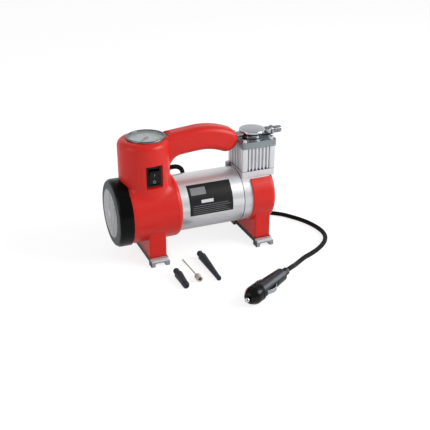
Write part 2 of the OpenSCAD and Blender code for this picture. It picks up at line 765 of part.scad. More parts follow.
// Bourdon tube bent round a block that carries the needle's spindle
module gauge_movement() {
    z0 = column_top - gauge_depth + gauge_wall;
    turn_r = gauge_case_r() - gauge_wall - bourdon_room;
    color("#c2a24c") at_gauge() {
        difference() {
            block(-4, 4, -turn_r, 5, z0, dial_z() - 2.6);
            cylinder_from(z0 + 2, dial_z(), 0.8 + run_fit);
        }
        translate([0, 0, z0 + 4]) rotate([0, 0, -90]) rotate_extrude(angle = 250)
            translate([turn_r, 0]) circle(1.3);
    }
}
module gauge_needle() {
    color("#1b1b1d") at_gauge() rotate([0, 0, needle_rest()]) {
        cylinder_from(column_top - gauge_depth + gauge_wall + 2.4, dial_z() + 0.6, 0.8);
        cylinder_from(dial_z() + 0.4, dial_z() + 1.4, 2);
        translate([0, 0, dial_z() + 0.6]) linear_extrude(0.5)
            polygon([[-1, -5], [1, -5], [0.3, gauge_case_r() - 4.6], [-0.3, gauge_case_r() - 4.6]]);
    }
}
// The needle rests at the lower left of the dial as seen from the switch side
function needle_rest() = 135;
module gauge_lens() {
    color("#e6eef2", 0.5) at_gauge() cylinder_from(column_top + 0.3, gauge_top - 0.7, gauge_case_r() + 0.1);
}
module gauge_bezel() {
    r = gauge_d / 2;
    color("#c9ccd0") at_gauge() rotate_extrude() difference() {
        union() {
            translate([0, column_top]) square([r, gauge_rise - 0.8]);
            translate([0, column_top]) square([r - 0.8, gauge_rise]);
            translate([r - 0.8, gauge_top - 0.8]) circle(0.8);
        }
        translate([0, column_top - cut]) square([gauge_case_r() + 0.1 + 0.05, gauge_rise - 0.7 + cut]);
        square([gauge_case_r() - 0.6, gauge_top + cut]);
    }
}
// Square channel in the handle that the gauge tube lies in
function tube_straight() = (handle_r * cos(handle_turn) - tube_end_x) / sin(handle_turn);
module gauge_channel() {
    w = gauge_tube_d + 2 * gap;
    side_plane() {
        rotate([0, 0, tube_turn]) rotate_extrude(angle = handle_turn - tube_turn)
            translate([handle_r, 0]) square(w, center = true);
        handle_run(-lap, tube_straight() + lap) square(w - 2 * seam, center = true);
    }
    sleeve_r = w / 2 + sleeve_t;
    block(handle_r * cos(tube_turn) - sleeve_l - gap, handle_end_x - 2, -sleeve_r, sleeve_r,
        nipple_z - sleeve_r, nipple_z + sleeve_r);
}
// A wider sleeve takes the tube level into the nipple
module gauge_tube() {
    color("#c98c4a") {
        side_plane() {
            rotate([0, 0, tube_turn]) rotate_extrude(angle = handle_turn - tube_turn)
                translate([handle_r, 0]) circle(gauge_tube_d / 2);
            rotate([0, 0, handle_turn]) translate([handle_r, -lap, 0]) rotate([-90, 0, 0])
                cylinder(h = tube_straight() + lap, r = gauge_tube_d / 2 - seam);
        }
        x_rod(handle_r * cos(tube_turn) - sleeve_l, handle_end_x - 2,
            gauge_tube_d / 2 + sleeve_t, 0, nipple_z);
    }
}
module gauge_nipple() {
    color("#d5d8dc") difference() {
        union() {
            x_rod(handle_end_x - 5.5, cylinder_x - neck_d / 2 + 3, nipple_d / 2 - 0.6, 0, nipple_z);
            x_rod(handle_end_x - 5.5, handle_end_x + nipple_l - nipple_gap, nipple_d / 2, 0, nipple_z);
        }
        x_rod(handle_end_x - 6, handle_end_x - 1.8, gauge_tube_d / 2 + sleeve_t + fit, 0, nipple_z);
        x_rod(handle_end_x - 2, cylinder_x, 1, 0, nipple_z);
    }
}

// Switch
function switch_body_w() = switch_w - 2;
function switch_body_h() = switch_h - 2;
function rocker_w() = switch_w - 2 * switch_wall - 2 * gap;
function rocker_h() = switch_h - 2 * switch_wall - 2 * gap - 1.2;
module switch_body() {
    color("#161719") difference() {
        translate([gauge_x, switch_y, switch_z]) {
            translate([0, -switch_t, 0]) rotate([-90, 0, 0]) linear_extrude(switch_t)
                rounded_rect(switch_w, switch_h, 1);
            block(-switch_body_w() / 2, switch_body_w() / 2, 0, switch_depth,
                -switch_body_h() / 2, switch_body_h() / 2);
            for (z = [-5, 0, 5]) block(-3, 3, switch_depth - cut, switch_depth + 7, z - 0.4, z + 0.4);
        }
        translate([gauge_x, switch_y, switch_z])
            block(-switch_w / 2 + switch_wall, switch_w / 2 - switch_wall, -switch_t - cut, 6,
                -switch_h / 2 + switch_wall, switch_h / 2 - switch_wall);
        x_rod(gauge_x - switch_w, gauge_x + switch_w, 1 + run_fit, rocker_pivot_y, switch_z);
    }
}
// The rocker's two faces meet in a shallow valley; at rest its lower end is pressed in
module rocker_profile() {
    h = rocker_h() / 2;
    polygon([[h - 0.6, -2.4], [h, 3.8], [h - 0.9, 4.3],
        [0, 3.2], [-h + 0.9, 4.3], [-h, 3.8], [-h + 0.6, -2.4]]);
}
module switch_rocker() {
    color("#101113") translate([gauge_x, rocker_pivot_y, switch_z]) rotate([rocker_tilt, 0, 0]) {
        translate([-rocker_w() / 2, 0, 0]) rotate([0, 90, 0]) rotate([0, 0, 180])
            linear_extrude(rocker_w()) rocker_profile();
        translate([-switch_body_w() / 2, 0, 0]) rotate([0, 90, 0]) cylinder(h = switch_body_w(), r = 1);
    }
}

// Motor
armature_x = (motor_x0 + crank_x0) / 2 + 3;
bell_x1 = motor_x0 + 6;
brush_x = bell_x1 + 6;
magnet_l = armature_l + 6;
module motor_tube() {
    color("#c3c7cc") x_ring(motor_x0, crank_x0, motor_r, motor_bore_r);
}
module field_magnets() {
    color("#55585c") for (s = [0, 180])
        along_x(armature_x - magnet_l / 2) rotate([0, 0, 90 - magnet_arc / 2 + s])
            rotate_extrude(angle = magnet_arc) translate([motor_bore_r - magnet_t, 0])
                square([magnet_t - fit, magnet_l]);
}
module rear_end_bell() {
    color("#9ea2a8") difference() {
        union() {
            x_rod(motor_x0, motor_x0 + 3, motor_bore_r - fit);
            x_rod(motor_x0, bell_x1, rear_bearing_d / 2 + 2.5);
        }
        x_rod(motor_x0 + 1, bell_x1 + cut, rear_bearing_d / 2 + fit);
    }
}
module rear_bearing() {
    color("#d8dadd") x_ring(motor_x0 + 1, bell_x1, rear_bearing_d / 2, shaft_r - 1.5 + run_fit);
}
module front_bearing() {
    color("#d8dadd")
        x_ring(crank_x0 + crank_wall - bearing_w, crank_x0 + crank_wall, bearing_d / 2, shaft_r + run_fit);
}
module brush_plate() {
    color("#7a5a32") difference() {
        union() {
            x_rod(bell_x1 + 1, bell_x1 + 3, motor_bore_r - fit);
            for (s = [0, 1]) mirror([0, s, 0])
                block(bell_x1 + 2, brush_x + brush_w / 2 + 2, commutator_d / 2 + 2, brush_reach + 2,
                    axis_z - brush_w / 2 - 2, axis_z + brush_w / 2 + 2);
        }
        x_rod(bell_x1, bell_x1 + 4, commutator_d / 2 + 1.5);
        block(brush_x - brush_w / 2 - fit, brush_x + brush_w / 2 + fit, -motor_r, motor_r,
            axis_z - brush_w / 2 - fit, axis_z + brush_w / 2 + fit);
    }
}
module carbon_brushes() {
    color("#26282b") difference() {
        for (s = [0, 1]) mirror([0, s, 0])
            block(brush_x - brush_w / 2, brush_x + brush_w / 2, commutator_d / 4, brush_reach,
                axis_z - brush_w / 2, axis_z + brush_w / 2);
        x_rod(brush_x - brush_w, brush_x + brush_w, commutator_d / 2 + run_fit);
    }
}
module motor_shaft() {
    color("#cfd2d6") {
        x_rod(motor_x0 + 1.5, bell_x1 + gap, shaft_r - 1.5);
        x_rod(bell_x1 + gap, disc_x1 - crank_t, shaft_r);
    }
}
module armature_core() {
    color("#6b6f75") difference() {
        x_ring(armature_x - armature_l / 2, armature_x + armature_l / 2, armature_r, shaft_r + run_fit);
        for (i = [0 : armature_slots - 1]) along_x(armature_x - armature_l / 2 - cut)
            rotate([0, 0, 360 * i / armature_slots])
                translate([armature_r - 8, -armature_slot_w / 2, 0])
                    cube([10, armature_slot_w, armature_l + 2 * cut]);
    }
}
// End turns on both faces of the core
module armature_windings() {
    color("#b8692f") for (s = [0, 1]) along_x(armature_x + armature_l / 2)
        translate([0, 0, s * -armature_l]) mirror([0, 0, s]) difference() {
            drum(armature_r - 2, 7, 3);
            translate([0, 0, -cut]) cylinder(h = 10, r = shaft_r + run_fit);
        }
}
module commutator() {
    x0 = brush_x - commutator_l / 2;
    color("#b87840") difference() {
        x_ring(x0, x0 + commutator_l, commutator_d / 2, shaft_r + run_fit);
        for (i = [0 : armature_slots - 1]) along_x(x0 - cut) rotate([0, 0, 360 * (i + 0.5) / armature_slots])
            translate([commutator_d / 2 - 1.2, -0.4, 0]) cube([3, 0.8, commutator_l + 2 * cut]);
    }
}
// Disc with a counterweight opposite the pin; the pin stops just short of the rod
module crank_disc() {
    color("#8b8f95") {
        difference() {
            x_rod(disc_x1 - crank_t, disc_x1, crank_throw + disc_rim);
            for (s = [-1, 1])
                translate([disc_x1 - crank_t - cut, s * (crank_throw + disc_rim - 1), crank_pin_z])
                rotate([0, 90, 0]) cylinder(h = crank_t + 2 * cut, r = disc_rim);
        }
        x_rod(disc_x1 - cut, rod_x0 - gap, crank_pin_d / 2, 0, crank_pin_z);
    }
}

// Crankcase
crank_bore_r = motor_r - crank_wall;
pad_z0 = pad_top - pad_h;
module at_cover_screws() {
    for (a = [30, 150, 210, 330])
        translate([0, (motor_r - crank_wall / 2) * cos(a), axis_z + (motor_r - crank_wall / 2) * sin(a)])
            children();
}
module crankcase() {
    color("#c6cacf") difference() {
        union() {
            x_rod(crank_x0, crank_x1, motor_r);
            x_rod(crank_x0 + crank_wall - bearing_w, crank_x0 + cut, motor_bore_r - fit);
            at_cylinder() upright_plate(block_w, block_w, 1.5, pad_z0, pad_top);
        }
        x_rod(crank_x0 + crank_wall + 1, crank_x1 + cut, crank_bore_r);
        x_rod(crank_x0 + crank_wall - bearing_w - cut, crank_x0 + crank_wall, bearing_d / 2 + fit);
        x_rod(crank_x0, crank_x0 + crank_wall + 2, shaft_r + 1);
        at_cylinder() {
            z_rod(0, 0, axis_z, pad_top + cut, bore_r + bore_wall - 1 + fit);
            corners(block_w / 2 - head_screw_inset)
                z_rod(0, 0, pad_z0 + 1, pad_top + cut, head_screw_d / 2 + fit);
        }
        at_cover_screws() x_rod(crank_x1 - cover_screw_l - 1, crank_x1 + cut, cover_screw_d / 2 + fit, 0, 0);
    }
}
module crankcase_cover() {
    color("#cf2e28") difference() {
        union() {
            along_x(cover_x0) drum(cover_r, cover_x1 - cover_x0, cover_edge);
            translate([foot_x1, 0, 0]) upright_plate(leg_w, cover_leg_d, leg_edge, leg_z, axis_z - 8);
        }
        x_rod(cover_x0 - leg_w, crank_x1 + fit, motor_r + fit);
        block(cover_x0 - cut, cover_x1 + cut, -2 * cover_r, 2 * cover_r, pad_z0 - 0.5, pad_top + cover_r);
        at_cover_screws() {
            x_rod(crank_x1 - cut, cover_x1 + cut, cover_screw_d / 2 + fit, 0, 0);
            x_rod(cover_x1 - cover_head_depth, cover_x1 + cut, cover_head_d / 2 + fit, 0, 0);
        }
        for (s = [-1, 1])
            z_rod(foot_x1, s * foot_screw_pitch / 2, leg_z - cut, foot_screw_z1() + fit,
                screw_d / 2 + fit);
    }
}
module cover_screws() {
    head_x0 = cover_x1 - cover_head_depth;
    head_x1 = head_x0 + cover_head_t;
    color("#3a3a3c") at_cover_screws() {
        x_rod(crank_x1 - cover_screw_l, head_x0 + 0.5, cover_screw_d / 2, 0, 0);
        difference() {
            x_rod(head_x0, head_x1, cover_head_d / 2, 0, 0);
            block(head_x1 - 0.8, head_x1 + cut, -cover_head_d, cover_head_d, -0.35, 0.35);
        }
    }
}

// Piston and rod at the bottom of the stroke
module connecting_rod() {
    color("#b4b8bd") difference() {
        union() {
            x_rod(rod_x0, rod_x0 + rod_t, crank_pin_d / 2 + 5, 0, crank_pin_z);
            x_rod(rod_x0, rod_x0 + rod_t, wrist_pin_d / 2 + 2.2, 0, wrist_z);
            block(rod_x0 + 1.5, rod_x0 + rod_t - 1.5, -3, 3, crank_pin_z, wrist_z);
        }
        x_rod(rod_x0 - cut, rod_x0 + rod_t + cut, crank_pin_d / 2 + run_fit, 0, crank_pin_z);
        x_rod(rod_x0 - cut, rod_x0 + rod_t + cut, wrist_pin_d / 2 + run_fit, 0, wrist_z);
    }
}
module wrist_pin() {
    color("#d8dadd") x_rod(cylinder_x - bore_r + 1.2, cylinder_x + bore_r - 1.2, wrist_pin_d / 2, 0, wrist_z);
}
module piston() {
    top = wrist_z + piston_crown;
    color("#c9ccd0") difference() {
        at_cylinder() z_rod(0, 0, top - piston_l, top, bore_r - gap);
        block(rod_x0 - gap, rod_x0 + rod_t + gap, -8, 8,
            top - piston_l - cut, wrist_z + wrist_pin_d / 2 + 2.2 + gap);
        x_rod(cylinder_x - bore_r, cylinder_x + bore_r, wrist_pin_d / 2 + run_fit, 0, wrist_z);
        at_cylinder() difference() {
            z_rod(0, 0, top - 3, top - 1.2, bore_r);
            z_rod(0, 0, top - 4, top, bore_r - 1.8);
        }
    }
}
module piston_ring() {
    top = wrist_z + piston_crown;
    color("#2c2d30") at_cylinder() difference() {
        z_rod(0, 0, top - 3 + 0.05, top - 1.2 - 0.05, bore_r - run_fit);
        z_rod(0, 0, top - 4, top, bore_r - 1.8 + 0.1);
    }
}

// Cylinder and head
module bolt_holes(z0, z1) {
    corners(block_w / 2 - head_screw_inset) z_rod(0, 0, z0 - cut, z1 + cut, head_screw_d / 2 + fit);
}
module base_gasket() {
    color("#4a4038") at_cylinder() difference() {
        upright_plate(block_w - 0.6, block_w - 0.6, 1.5, pad_top, fin_z0);
        z_rod(0, 0, pad_top - cut, fin_z0 + cut, bore_r + bore_wall - 1 + fit);
        bolt_holes(pad_top, fin_z0);
    }
}
// Section of the finned block: bore wall, corner posts and fins on all four sides
module fin_section() {
    inner = block_w / 2 - post_w;
    pitch = 2 * inner / fin_count;
    circle(bore_r + bore_wall);
    corners(block_w / 2 - post_w / 2) rounded_rect(post_w, post_w, 1.2);
    for (a = [0 : 90 : 270]) rotate([0, 0, a]) {
        for (i = [0 : fin_count - 1]) translate([(i - (fin_count - 1) / 2) * pitch - fin_t / 2, 0])
            square([fin_t, block_w / 2 - 0.4]);
        rotate([0, 0, 45]) translate([0, -2]) square([block_w / 2 * 1.2, 4]);
    }
}
// Room for the handle's free end in the cylinder's pieces
module handle_relief() {
    z0 = axis_z + handle_r * sin(handle_end_turn) - handle_h / 2 - gap;
    block(-block_w, handle_end_x - cylinder_x + gap,
        -handle_w / 2 - gap, handle_w / 2 + gap, z0, head_z1 + cut);
}
module cylinder_block() {
    color("#d3d6da") at_cylinder() difference() {
        union() {
            translate([0, 0, fin_z0]) linear_extrude(fin_h) fin_section();
            z_rod(0, 0, pad_top - spigot_l, fin_z0 + cut, bore_r + bore_wall - 1);
        }
        z_rod(0, 0, pad_top - spigot_l - cut, fin_z1 + cut, bore_r);
        bolt_holes(fin_z0, fin_z1);
        handle_relief();
    }
}
// Outline that head and valve plate share
module head_outline(z0, z1) {
    reach = min(head_reach, boss_x1 + outlet_hex_l - gap - cylinder_x - block_w / 2);
    translate([reach / 2, 0, 0]) upright_plate(block_w + reach, block_w, head_edge, z0, z1);
}
module valve_plate() {
    color("#9aa0a6") at_cylinder() difference() {
        head_outline(fin_z1, head_z0);
        for (s = [-1, 1]) z_rod(0, s * bore_r / 2, fin_z1 - cut, head_z0 + cut, 2);
        bolt_holes(fin_z1, head_z0);
        handle_relief();
    }
}
// Head plate with the pressure chamber that feeds the cap
module cylinder_head() {
    color("#aeb3b9") at_cylinder() difference() {
        head_outline(head_z0, head_z1);
        z_rod(0, 0, head_z0 - cut, head_z0 + 2.5, bore_r - 2);
        z_rod(0, 0, head_z0, head_z1 + cut, 3);
        bolt_holes(head_z0, head_z1);
        handle_relief();
    }
}
module head_screws() {
    color("#d8dbdf") at_cylinder() corners(block_w / 2 - head_screw_inset) {
        z_rod(0, 0, pad_z0 + 1.5, head_z1, head_screw_d / 2);
        difference() {
            z_rod(0, 0, head_z1, head_z1 + head_screw_head_h, head_screw_inset - 0.9);
            translate([0, 0, head_z1 + 1.2]) cylinder(h = head_screw_head_h, r = 1.5, $fn = 6);
        }
    }
}
boss_x1 = cylinder_x + cap_d / 2 + 0.2;
module head_cap() {
    cap_z = head_z1 + neck_h;
    color("#d9dcdf") difference() {
        union() {
            at_cylinder() {
                z_rod(0, 0, head_z1, cap_z + cap_t / 2, neck_d / 2);
                translate([0, 0, cap_z]) drum(cap_d / 2, cap_t, cap_t / 3);
            }
            x_rod(cylinder_x, boss_x1, air_z - 0.2, 0, nipple_z);
        }
        at_cylinder() z_rod(0, 0, head_z1 - cut, cap_z - 1, neck_d / 2 - 4);
        x_rod(cylinder_x - neck_d, cylinder_x - neck_d / 2 + 3 + fit, nipple_d / 2 - 0.6 + fit, 0, nipple_z);
        x_rod(cylinder_x - neck_d / 2, cylinder_x, 1, 0, nipple_z);
        x_rod(cylinder_x - cap_d, cylinder_x - neck_d / 2 - nipple_gap / 2, nipple_d / 2 + gap, 0, nipple_z);
        x_rod(cylinder_x, boss_x1 + cut, outlet_bore / 2, 0, nipple_z);
        x_rod(boss_x1 - 4, boss_x1 + cut, outlet_d / 2 - 0.9 + fit, 0, nipple_z);
    }
}
module outlet_fitting() {
    x1 = boss_x1 + outlet_hex_l;
    x2 = x1 + outlet_flange_l;
    color("#d5d8dc") difference() {
        union() {
            x_rod(boss_x1 - 4 + fit, boss_x1 + cut, outlet_d / 2 - 0.9, 0, nipple_z);
            translate([boss_x1, 0, nipple_z]) rotate([0, 90, 0]) rotate([0, 0, 30])
                cylinder(h = outlet_hex_l, r = outlet_hex_w / 2 / cos(30), $fn = 6);
            translate([x1, 0, nipple_z]) rotate([0, 90, 0]) drum(outlet_flange_d / 2, outlet_flange_l, 0.8);
            x_rod(x2 - cut, x2 + outlet_thread_l, outlet_d / 2, 0, nipple_z);
        }
        x_rod(boss_x1 - 5, x2 + outlet_thread_l + cut, outlet_bore / 2, 0, nipple_z);
    }
}

// Feet
function foot_screw_z1() = leg_z + 9;
rail_corner = 2.4;
rail_leg_w = 4.2;
rail_leg_l = 9;
// Bridge with four corner legs and rounded long edges
module foot_rail() {
    difference() {
        translate([0, rail_l / 2, 0]) rotate([90, 0, 0]) linear_extrude(rail_l) difference() {
            union() {
                translate([-rail_w / 2, 0]) square([rail_w, rail_h - rail_corner]);
                translate([-rail_w / 2 + rail_corner, 0]) square([rail_w - 2 * rail_corner, rail_h]);
                for (s = [-1, 1])
                    translate([s * (rail_w / 2 - rail_corner), rail_h - rail_corner]) circle(rail_corner);
            }
            rounded_rect(rail_w - 2 * rail_leg_w, 2 * (rail_h - rail_t), 1.6);
        }
        block(-rail_w, rail_w, -rail_l / 2 + rail_leg_l, rail_l / 2 - rail_leg_l, -cut, rail_h - rail_t);
        for (s = [-1, 1]) z_rod(0, s * foot_screw_pitch / 2, 0, rail_h + cut, screw_d / 2 + fit);
    }
}
module foot_rail_left() {
    color("#c9ccd0") translate([gauge_x, 0, 0]) foot_rail();
}
module foot_rail_right() {
    color("#c9ccd0") translate([foot_x1, 0, 0]) foot_rail();
}
module foot_pads() {
    color("#1d1d1f") at_feet() difference() {
        upright_plate(rail_w - 1, rail_l - 2, rail_corner, rail_h, leg_z);
        for (s = [-1, 1]) z_rod(0, s * foot_screw_pitch / 2, 0, leg_z + cut, screw_d / 2 + fit);
    }
}
module foot_screws() {
    color("#3a3a3c") at_feet() for (s = [-1, 1]) {
        z_rod(0, s * foot_screw_pitch / 2, rail_h - rail_t - cut, foot_screw_z1(), screw_d / 2);
        z_rod(0, s * foot_screw_pitch / 2, rail_h - rail_t - 2, rail_h - rail_t, screw_head_d / 2);
    }
}

// Cord
module cord_boot() {
    color("#151517") translate([boot_x0, boot_y, boot_z]) rotate([0, 90, 0]) difference() {
        union() {
            cylinder(h = 8, r = boot_d / 2);
            translate([0, 0, 7]) cylinder(h = boot_l, r1 = boot_d / 2, r2 = cord_r + 0.6);
        }
        translate([0, 0, -cut]) cylinder(h = 4 + cut, r = cord_r);
    }
}
module power_cord_lead() {
    color("#141416") sweep(lead_points, cord_r, tube_sides);
}
module power_cord_coil() {
    color("#141416") sweep(coil_route(), cord_r, coil_sides);
}
module power_cord_tail() {
    color("#141416") sweep(tail_points, cord_r, tube_sides);
}
// Strap round all turns of the coil
module cord_tie() {
    inner_r = coil_r - coil_pitch * layer_turns() - cord_r;
    y0 = sqrt(inner_r * inner_r - tie_w * tie_w / 4) - 0.25;
    y1 = coil_r + cord_r + 0.25;
    z1 = coil_z + coil_layer * (coil_layers - 1) + cord_r + 0.25;
    color("#222226") translate([coil_x - tie_w / 2, coil_y, 0]) rotate([90, 0, 90]) linear_extrude(tie_w)
        translate([(y0 + y1) / 2, (z1 + tie_t) / 2]) difference() {
            rounded_rect(y1 - y0 + 2 * tie_t, z1 + tie_t, tie_t);
            square([y1 - y0, z1 - tie_t], center = true);
        }
}

// Plug
plug_z1 = plug_collar_l + plug_l;
plug_z2 = plug_z1 + plug_cap_l;
spigot_r = plug_d / 2 - 2.5;
spigot_h = 8;
contact_r = 12;
contact_w = 4;
contact_t = 0.8;
contact_z = plug_z1 - 11.5;
contact_floor = plug_d / 2 - 1.6;
plug_wall = 4;
module at_plug() {
    translate(plug_rear) rotate([0, 0, plug_turn]) rotate([0, 90, 0]) children();
}
module plug_body() {
    slot_l = 2 * sqrt(contact_r * contact_r - pow(contact_r - plug_contact_span / 2 + contact_floor, 2)) + 1;
    color("#1c1c1f") at_plug() difference() {
        union() {
            cylinder(h = plug_collar_l + cut, r = plug_collar_d / 2);
            translate([0, 0, plug_collar_l]) cylinder(h = plug_l, r1 = plug_rear_d / 2, r2 = plug_d / 2);
            translate([0, 0, plug_z1 - cut]) cylinder(h = spigot_h + cut, r = spigot_r);
        }
        for (s = [0, 1]) mirror([0, s, 0])
            translate([-contact_w / 2 - fit, contact_floor - contact_t - 0.1, contact_z - slot_l / 2])
            cube([contact_w + 2 * fit, plug_d, slot_l]);
        for (i = [0 : 2]) translate([0, 0, 2 + 2.6 * i]) difference() {
            cylinder(h = 1.2, r = plug_collar_d);
            translate([0, 0, -cut]) cylinder(h = 4, r = plug_collar_d / 2 - 0.6);
        }
    }
}
module plug_cap() {
    color("#121214") at_plug() translate([0, 0, plug_z1]) difference() {
        drum(plug_cap_d / 2, plug_cap_l, 6);
        translate([0, 0, -cut]) cylinder(h = spigot_h + gap + cut, r = spigot_r + fit);
        cylinder(h = plug_cap_l - plug_wall, r = plug_tip_d / 2 + 1.5);
        cylinder(h = plug_cap_l + cut, r = plug_tip_d / 2 + gap);
    }
}
module plug_contacts() {
    turn = acos((contact_r - plug_contact_span / 2 + contact_floor) / contact_r);
    color("#cfd2d6") at_plug() for (s = [0, 1]) mirror([0, s, 0])
        translate([0, plug_contact_span / 2 - contact_r, contact_z])
            rotate([0, 90, 0]) rotate([0, 0, 90 - turn])
            rotate_extrude(angle = 2 * turn) translate([contact_r - contact_t / 2, 0])
                square([contact_t, contact_w], center = true);
}
// Centre contact, held behind the cap's front wall by a collar
module plug_tip() {
    z0 = plug_z2 - plug_wall - gap - 1.5;
    color("#d8dadd") at_plug() {
        translate([0, 0, z0]) drum(plug_tip_d / 2, plug_z2 + plug_tip_l - z0, plug_tip_d / 2 - 0.4);
        translate([0, 0, z0]) cylinder(h = 1.5, r = plug_tip_d / 2 + 1);
    }
}

// Adapters, lying on the floor with their tips towards the switch side
module nozzle(at, l, tip_d, rings) {
    lean = atan((nozzle_d - tip_d) / 2 / l);
    translate([at[0], at[1], nozzle_d / 2 * cos(lean) + 0.02]) rotate([90 + lean, 0, 0]) difference() {
        union() {
            translate([0, 0, -adapter_thread_l])
                cylinder(h = adapter_thread_l + cut, r = adapter_thread_d / 2);
            cylinder(h = l, r1 = nozzle_d / 2, r2 = tip_d / 2);
        }
        translate([0, 0, -adapter_thread_l - cut]) cylinder(h = l + adapter_thread_l + 2 * cut, r = 1.2);
        for (i = [1 : 1 : rings]) translate([0, 0, l - 2.4 * i]) difference() {
            cylinder(h = 0.9, r = nozzle_d);
            translate([0, 0, -cut]) cylinder(h = 3, r = tip_d / 2 - 0.3);
        }
    }
}
module nozzle_short() {
    color("#2b2f36") nozzle(short_nozzle_at, short_nozzle_l, short_tip_d, 2);
}
module nozzle_long() {
    color("#2b2f36") nozzle(long_nozzle_at, long_nozzle_l, long_tip_d, 0);
}
module ball_needle() {
    lean = atan((needle_hub_d - needle_d) / 2 / needle_l);
    color("#cfc9b4") translate([ball_needle_at[0], ball_needle_at[1], needle_hub_d / 2 * cos(lean) + 0.02])
        rotate([-90 - lean, 0, 0]) difference() {
            union() {
                translate([0, 0, -needle_hub_l]) cylinder(h = needle_hub_l, r = needle_hub_d / 2);
                translate([0, 0, -cut]) cylinder(h = needle_l + cut, r = needle_d / 2);
            }
            translate([0, 0, -needle_hub_l - cut]) cylinder(h = needle_hub_l - 1, r = needle_hub_d / 2 - 1.2);
        }
}

echo(coil_least_gap = coil_gap(coil_route()));
housing_front();
housing_back();
housing_screws();
lamp_bezel();
lamp_lens();
lamp_reflector();
lamp_bulb();
lamp_socket();
gauge_case();
gauge_dial();
gauge_movement();
gauge_needle();
gauge_lens();
gauge_bezel();
gauge_tube();
gauge_nipple();
switch_body();
switch_rocker();
motor_tube();
field_magnets();
rear_end_bell();
rear_bearing();
front_bearing();
brush_plate();
carbon_brushes();
motor_shaft();
armature_core();
armature_windings();
commutator();
crank_disc();
crankcase();
crankcase_cover();
cover_screws();
connecting_rod();
wrist_pin();
piston();
piston_ring();
base_gasket();
cylinder_block();
valve_plate();
cylinder_head();
head_screws();
head_cap();
outlet_fitting();
foot_rail_left();
foot_rail_right();
foot_pads();
foot_screws();
cord_boot();
power_cord_lead();
power_cord_coil();
power_cord_tail();
cord_tie();
plug_body();
plug_cap();
plug_contacts();
plug_tip();
nozzle_short();
nozzle_long();
ball_needle();
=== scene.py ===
"""Looks of a portable car air compressor: finishes, small detail, cord, stage and camera."""

import json
import math

import bmesh
import bpy
from bpy.props import FloatProperty, FloatVectorProperty, IntProperty, PointerProperty
from mathutils import Matrix, Vector

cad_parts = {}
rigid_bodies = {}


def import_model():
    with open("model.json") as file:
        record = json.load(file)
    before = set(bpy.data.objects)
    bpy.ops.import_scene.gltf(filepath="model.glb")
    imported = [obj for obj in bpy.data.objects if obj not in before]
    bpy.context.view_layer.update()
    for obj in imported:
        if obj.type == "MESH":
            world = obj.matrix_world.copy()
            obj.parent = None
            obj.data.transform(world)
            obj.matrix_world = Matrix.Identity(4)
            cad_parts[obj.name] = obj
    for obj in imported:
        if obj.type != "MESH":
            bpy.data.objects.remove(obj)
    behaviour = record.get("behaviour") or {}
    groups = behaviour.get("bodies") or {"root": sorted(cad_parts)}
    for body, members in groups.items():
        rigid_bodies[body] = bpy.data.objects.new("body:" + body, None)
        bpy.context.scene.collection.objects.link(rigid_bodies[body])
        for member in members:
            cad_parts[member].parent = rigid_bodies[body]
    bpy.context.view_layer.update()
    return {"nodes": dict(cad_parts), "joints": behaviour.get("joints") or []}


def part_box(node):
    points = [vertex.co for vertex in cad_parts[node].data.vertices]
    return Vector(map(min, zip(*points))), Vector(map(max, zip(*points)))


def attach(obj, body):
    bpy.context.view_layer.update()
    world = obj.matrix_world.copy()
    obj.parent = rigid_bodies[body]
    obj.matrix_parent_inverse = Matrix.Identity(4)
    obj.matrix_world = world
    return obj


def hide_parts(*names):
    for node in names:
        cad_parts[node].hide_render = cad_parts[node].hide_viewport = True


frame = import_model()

bl_info = {
    "name": "Car air compressor looks",
    "version": (1, 0, 0),
    "blender": (4, 5, 0),
    "location": "3D View > Sidebar > Compressor",
    "description": "Dresses the packed compressor with finishes, small detail, its cord and a stage",
    "category": "Object",
}

MM = 0.001
PUMP = "pump"
AXIS_Z = 53.0
MOTOR_R = 30.0
JOINT_X = 39.1
GAUGE_X = -58.5
CYLINDER_X = 59.5
COLUMN_X = -61.7
COLUMN_R = 26.5
BARREL_R = 34.0
BARREL_FRONT_X = -84.2
HOUSING_END_X = -36.0
RAIL_MIDDLE = 1.5
RAIL_HALF_SPAN = 60.0


def srgb(code):
    """Linear colour of a hexadecimal screen colour such as '#cf2e28'."""
    values = [int(code[i:i + 2], 16) / 255 for i in (1, 3, 5)]
    return tuple(v / 12.92 if v <= 0.04045 else ((v + 0.055) / 1.055) ** 2.4 for v in values)


def colour_prop(name, code, description):
    return FloatVectorProperty(
        name=name, description=description, subtype="COLOR", size=3, min=0, max=1, default=srgb(code))


def length_prop(name, millimetres, description):
    return FloatProperty(
        name=name, description=description, subtype="DISTANCE", unit="LENGTH", default=millimetres * MM)


def angle_prop(name, degrees, description):
    return FloatProperty(
        name=name, description=description, subtype="ANGLE", default=math.radians(degrees))


def power_prop(name, watts, description):
    return FloatProperty(name=name, description=description, subtype="POWER", default=watts)


class CompressorColours(bpy.types.PropertyGroup):
    """Colours of the compressor's finishes."""
    red: colour_prop("Red plastic", "#d0221b", "Housing halves and crankcase cover")
    black: colour_prop("Black plastic", "#070708", "Lamp bezel, switch and the plug's nose")
    matte: colour_prop("Matt black", "#1d1e21", "Gauge case, coil strap and the plug's grip")
    # The cord and boot take this colour as real rubber; the foot rails take it as painted shade along their
    # sides and under the legs.
    rubber: colour_prop("Rubber", "#0d0d0e", "Cord, boot and the foot rails' dark sides")
    lamp_ring: colour_prop("Lamp ring", "#54575c", "Front ring of the lamp")
    silver: colour_prop("Silver paint", "#cdcfd2", "Motor tube")
    aluminium: colour_prop("Aluminium", "#d2d4d8", "Cylinder, crankcase and foot rails")
    chrome: colour_prop("Chrome", "#bfc2c5", "Head cap, nipple, head screws and the plug's tip")
    adapter: colour_prop("Adapter plastic", "#343a41", "The two loose nozzles")
    dial: colour_prop("Dial", "#b9bfbe", "Face of the pressure gauge")


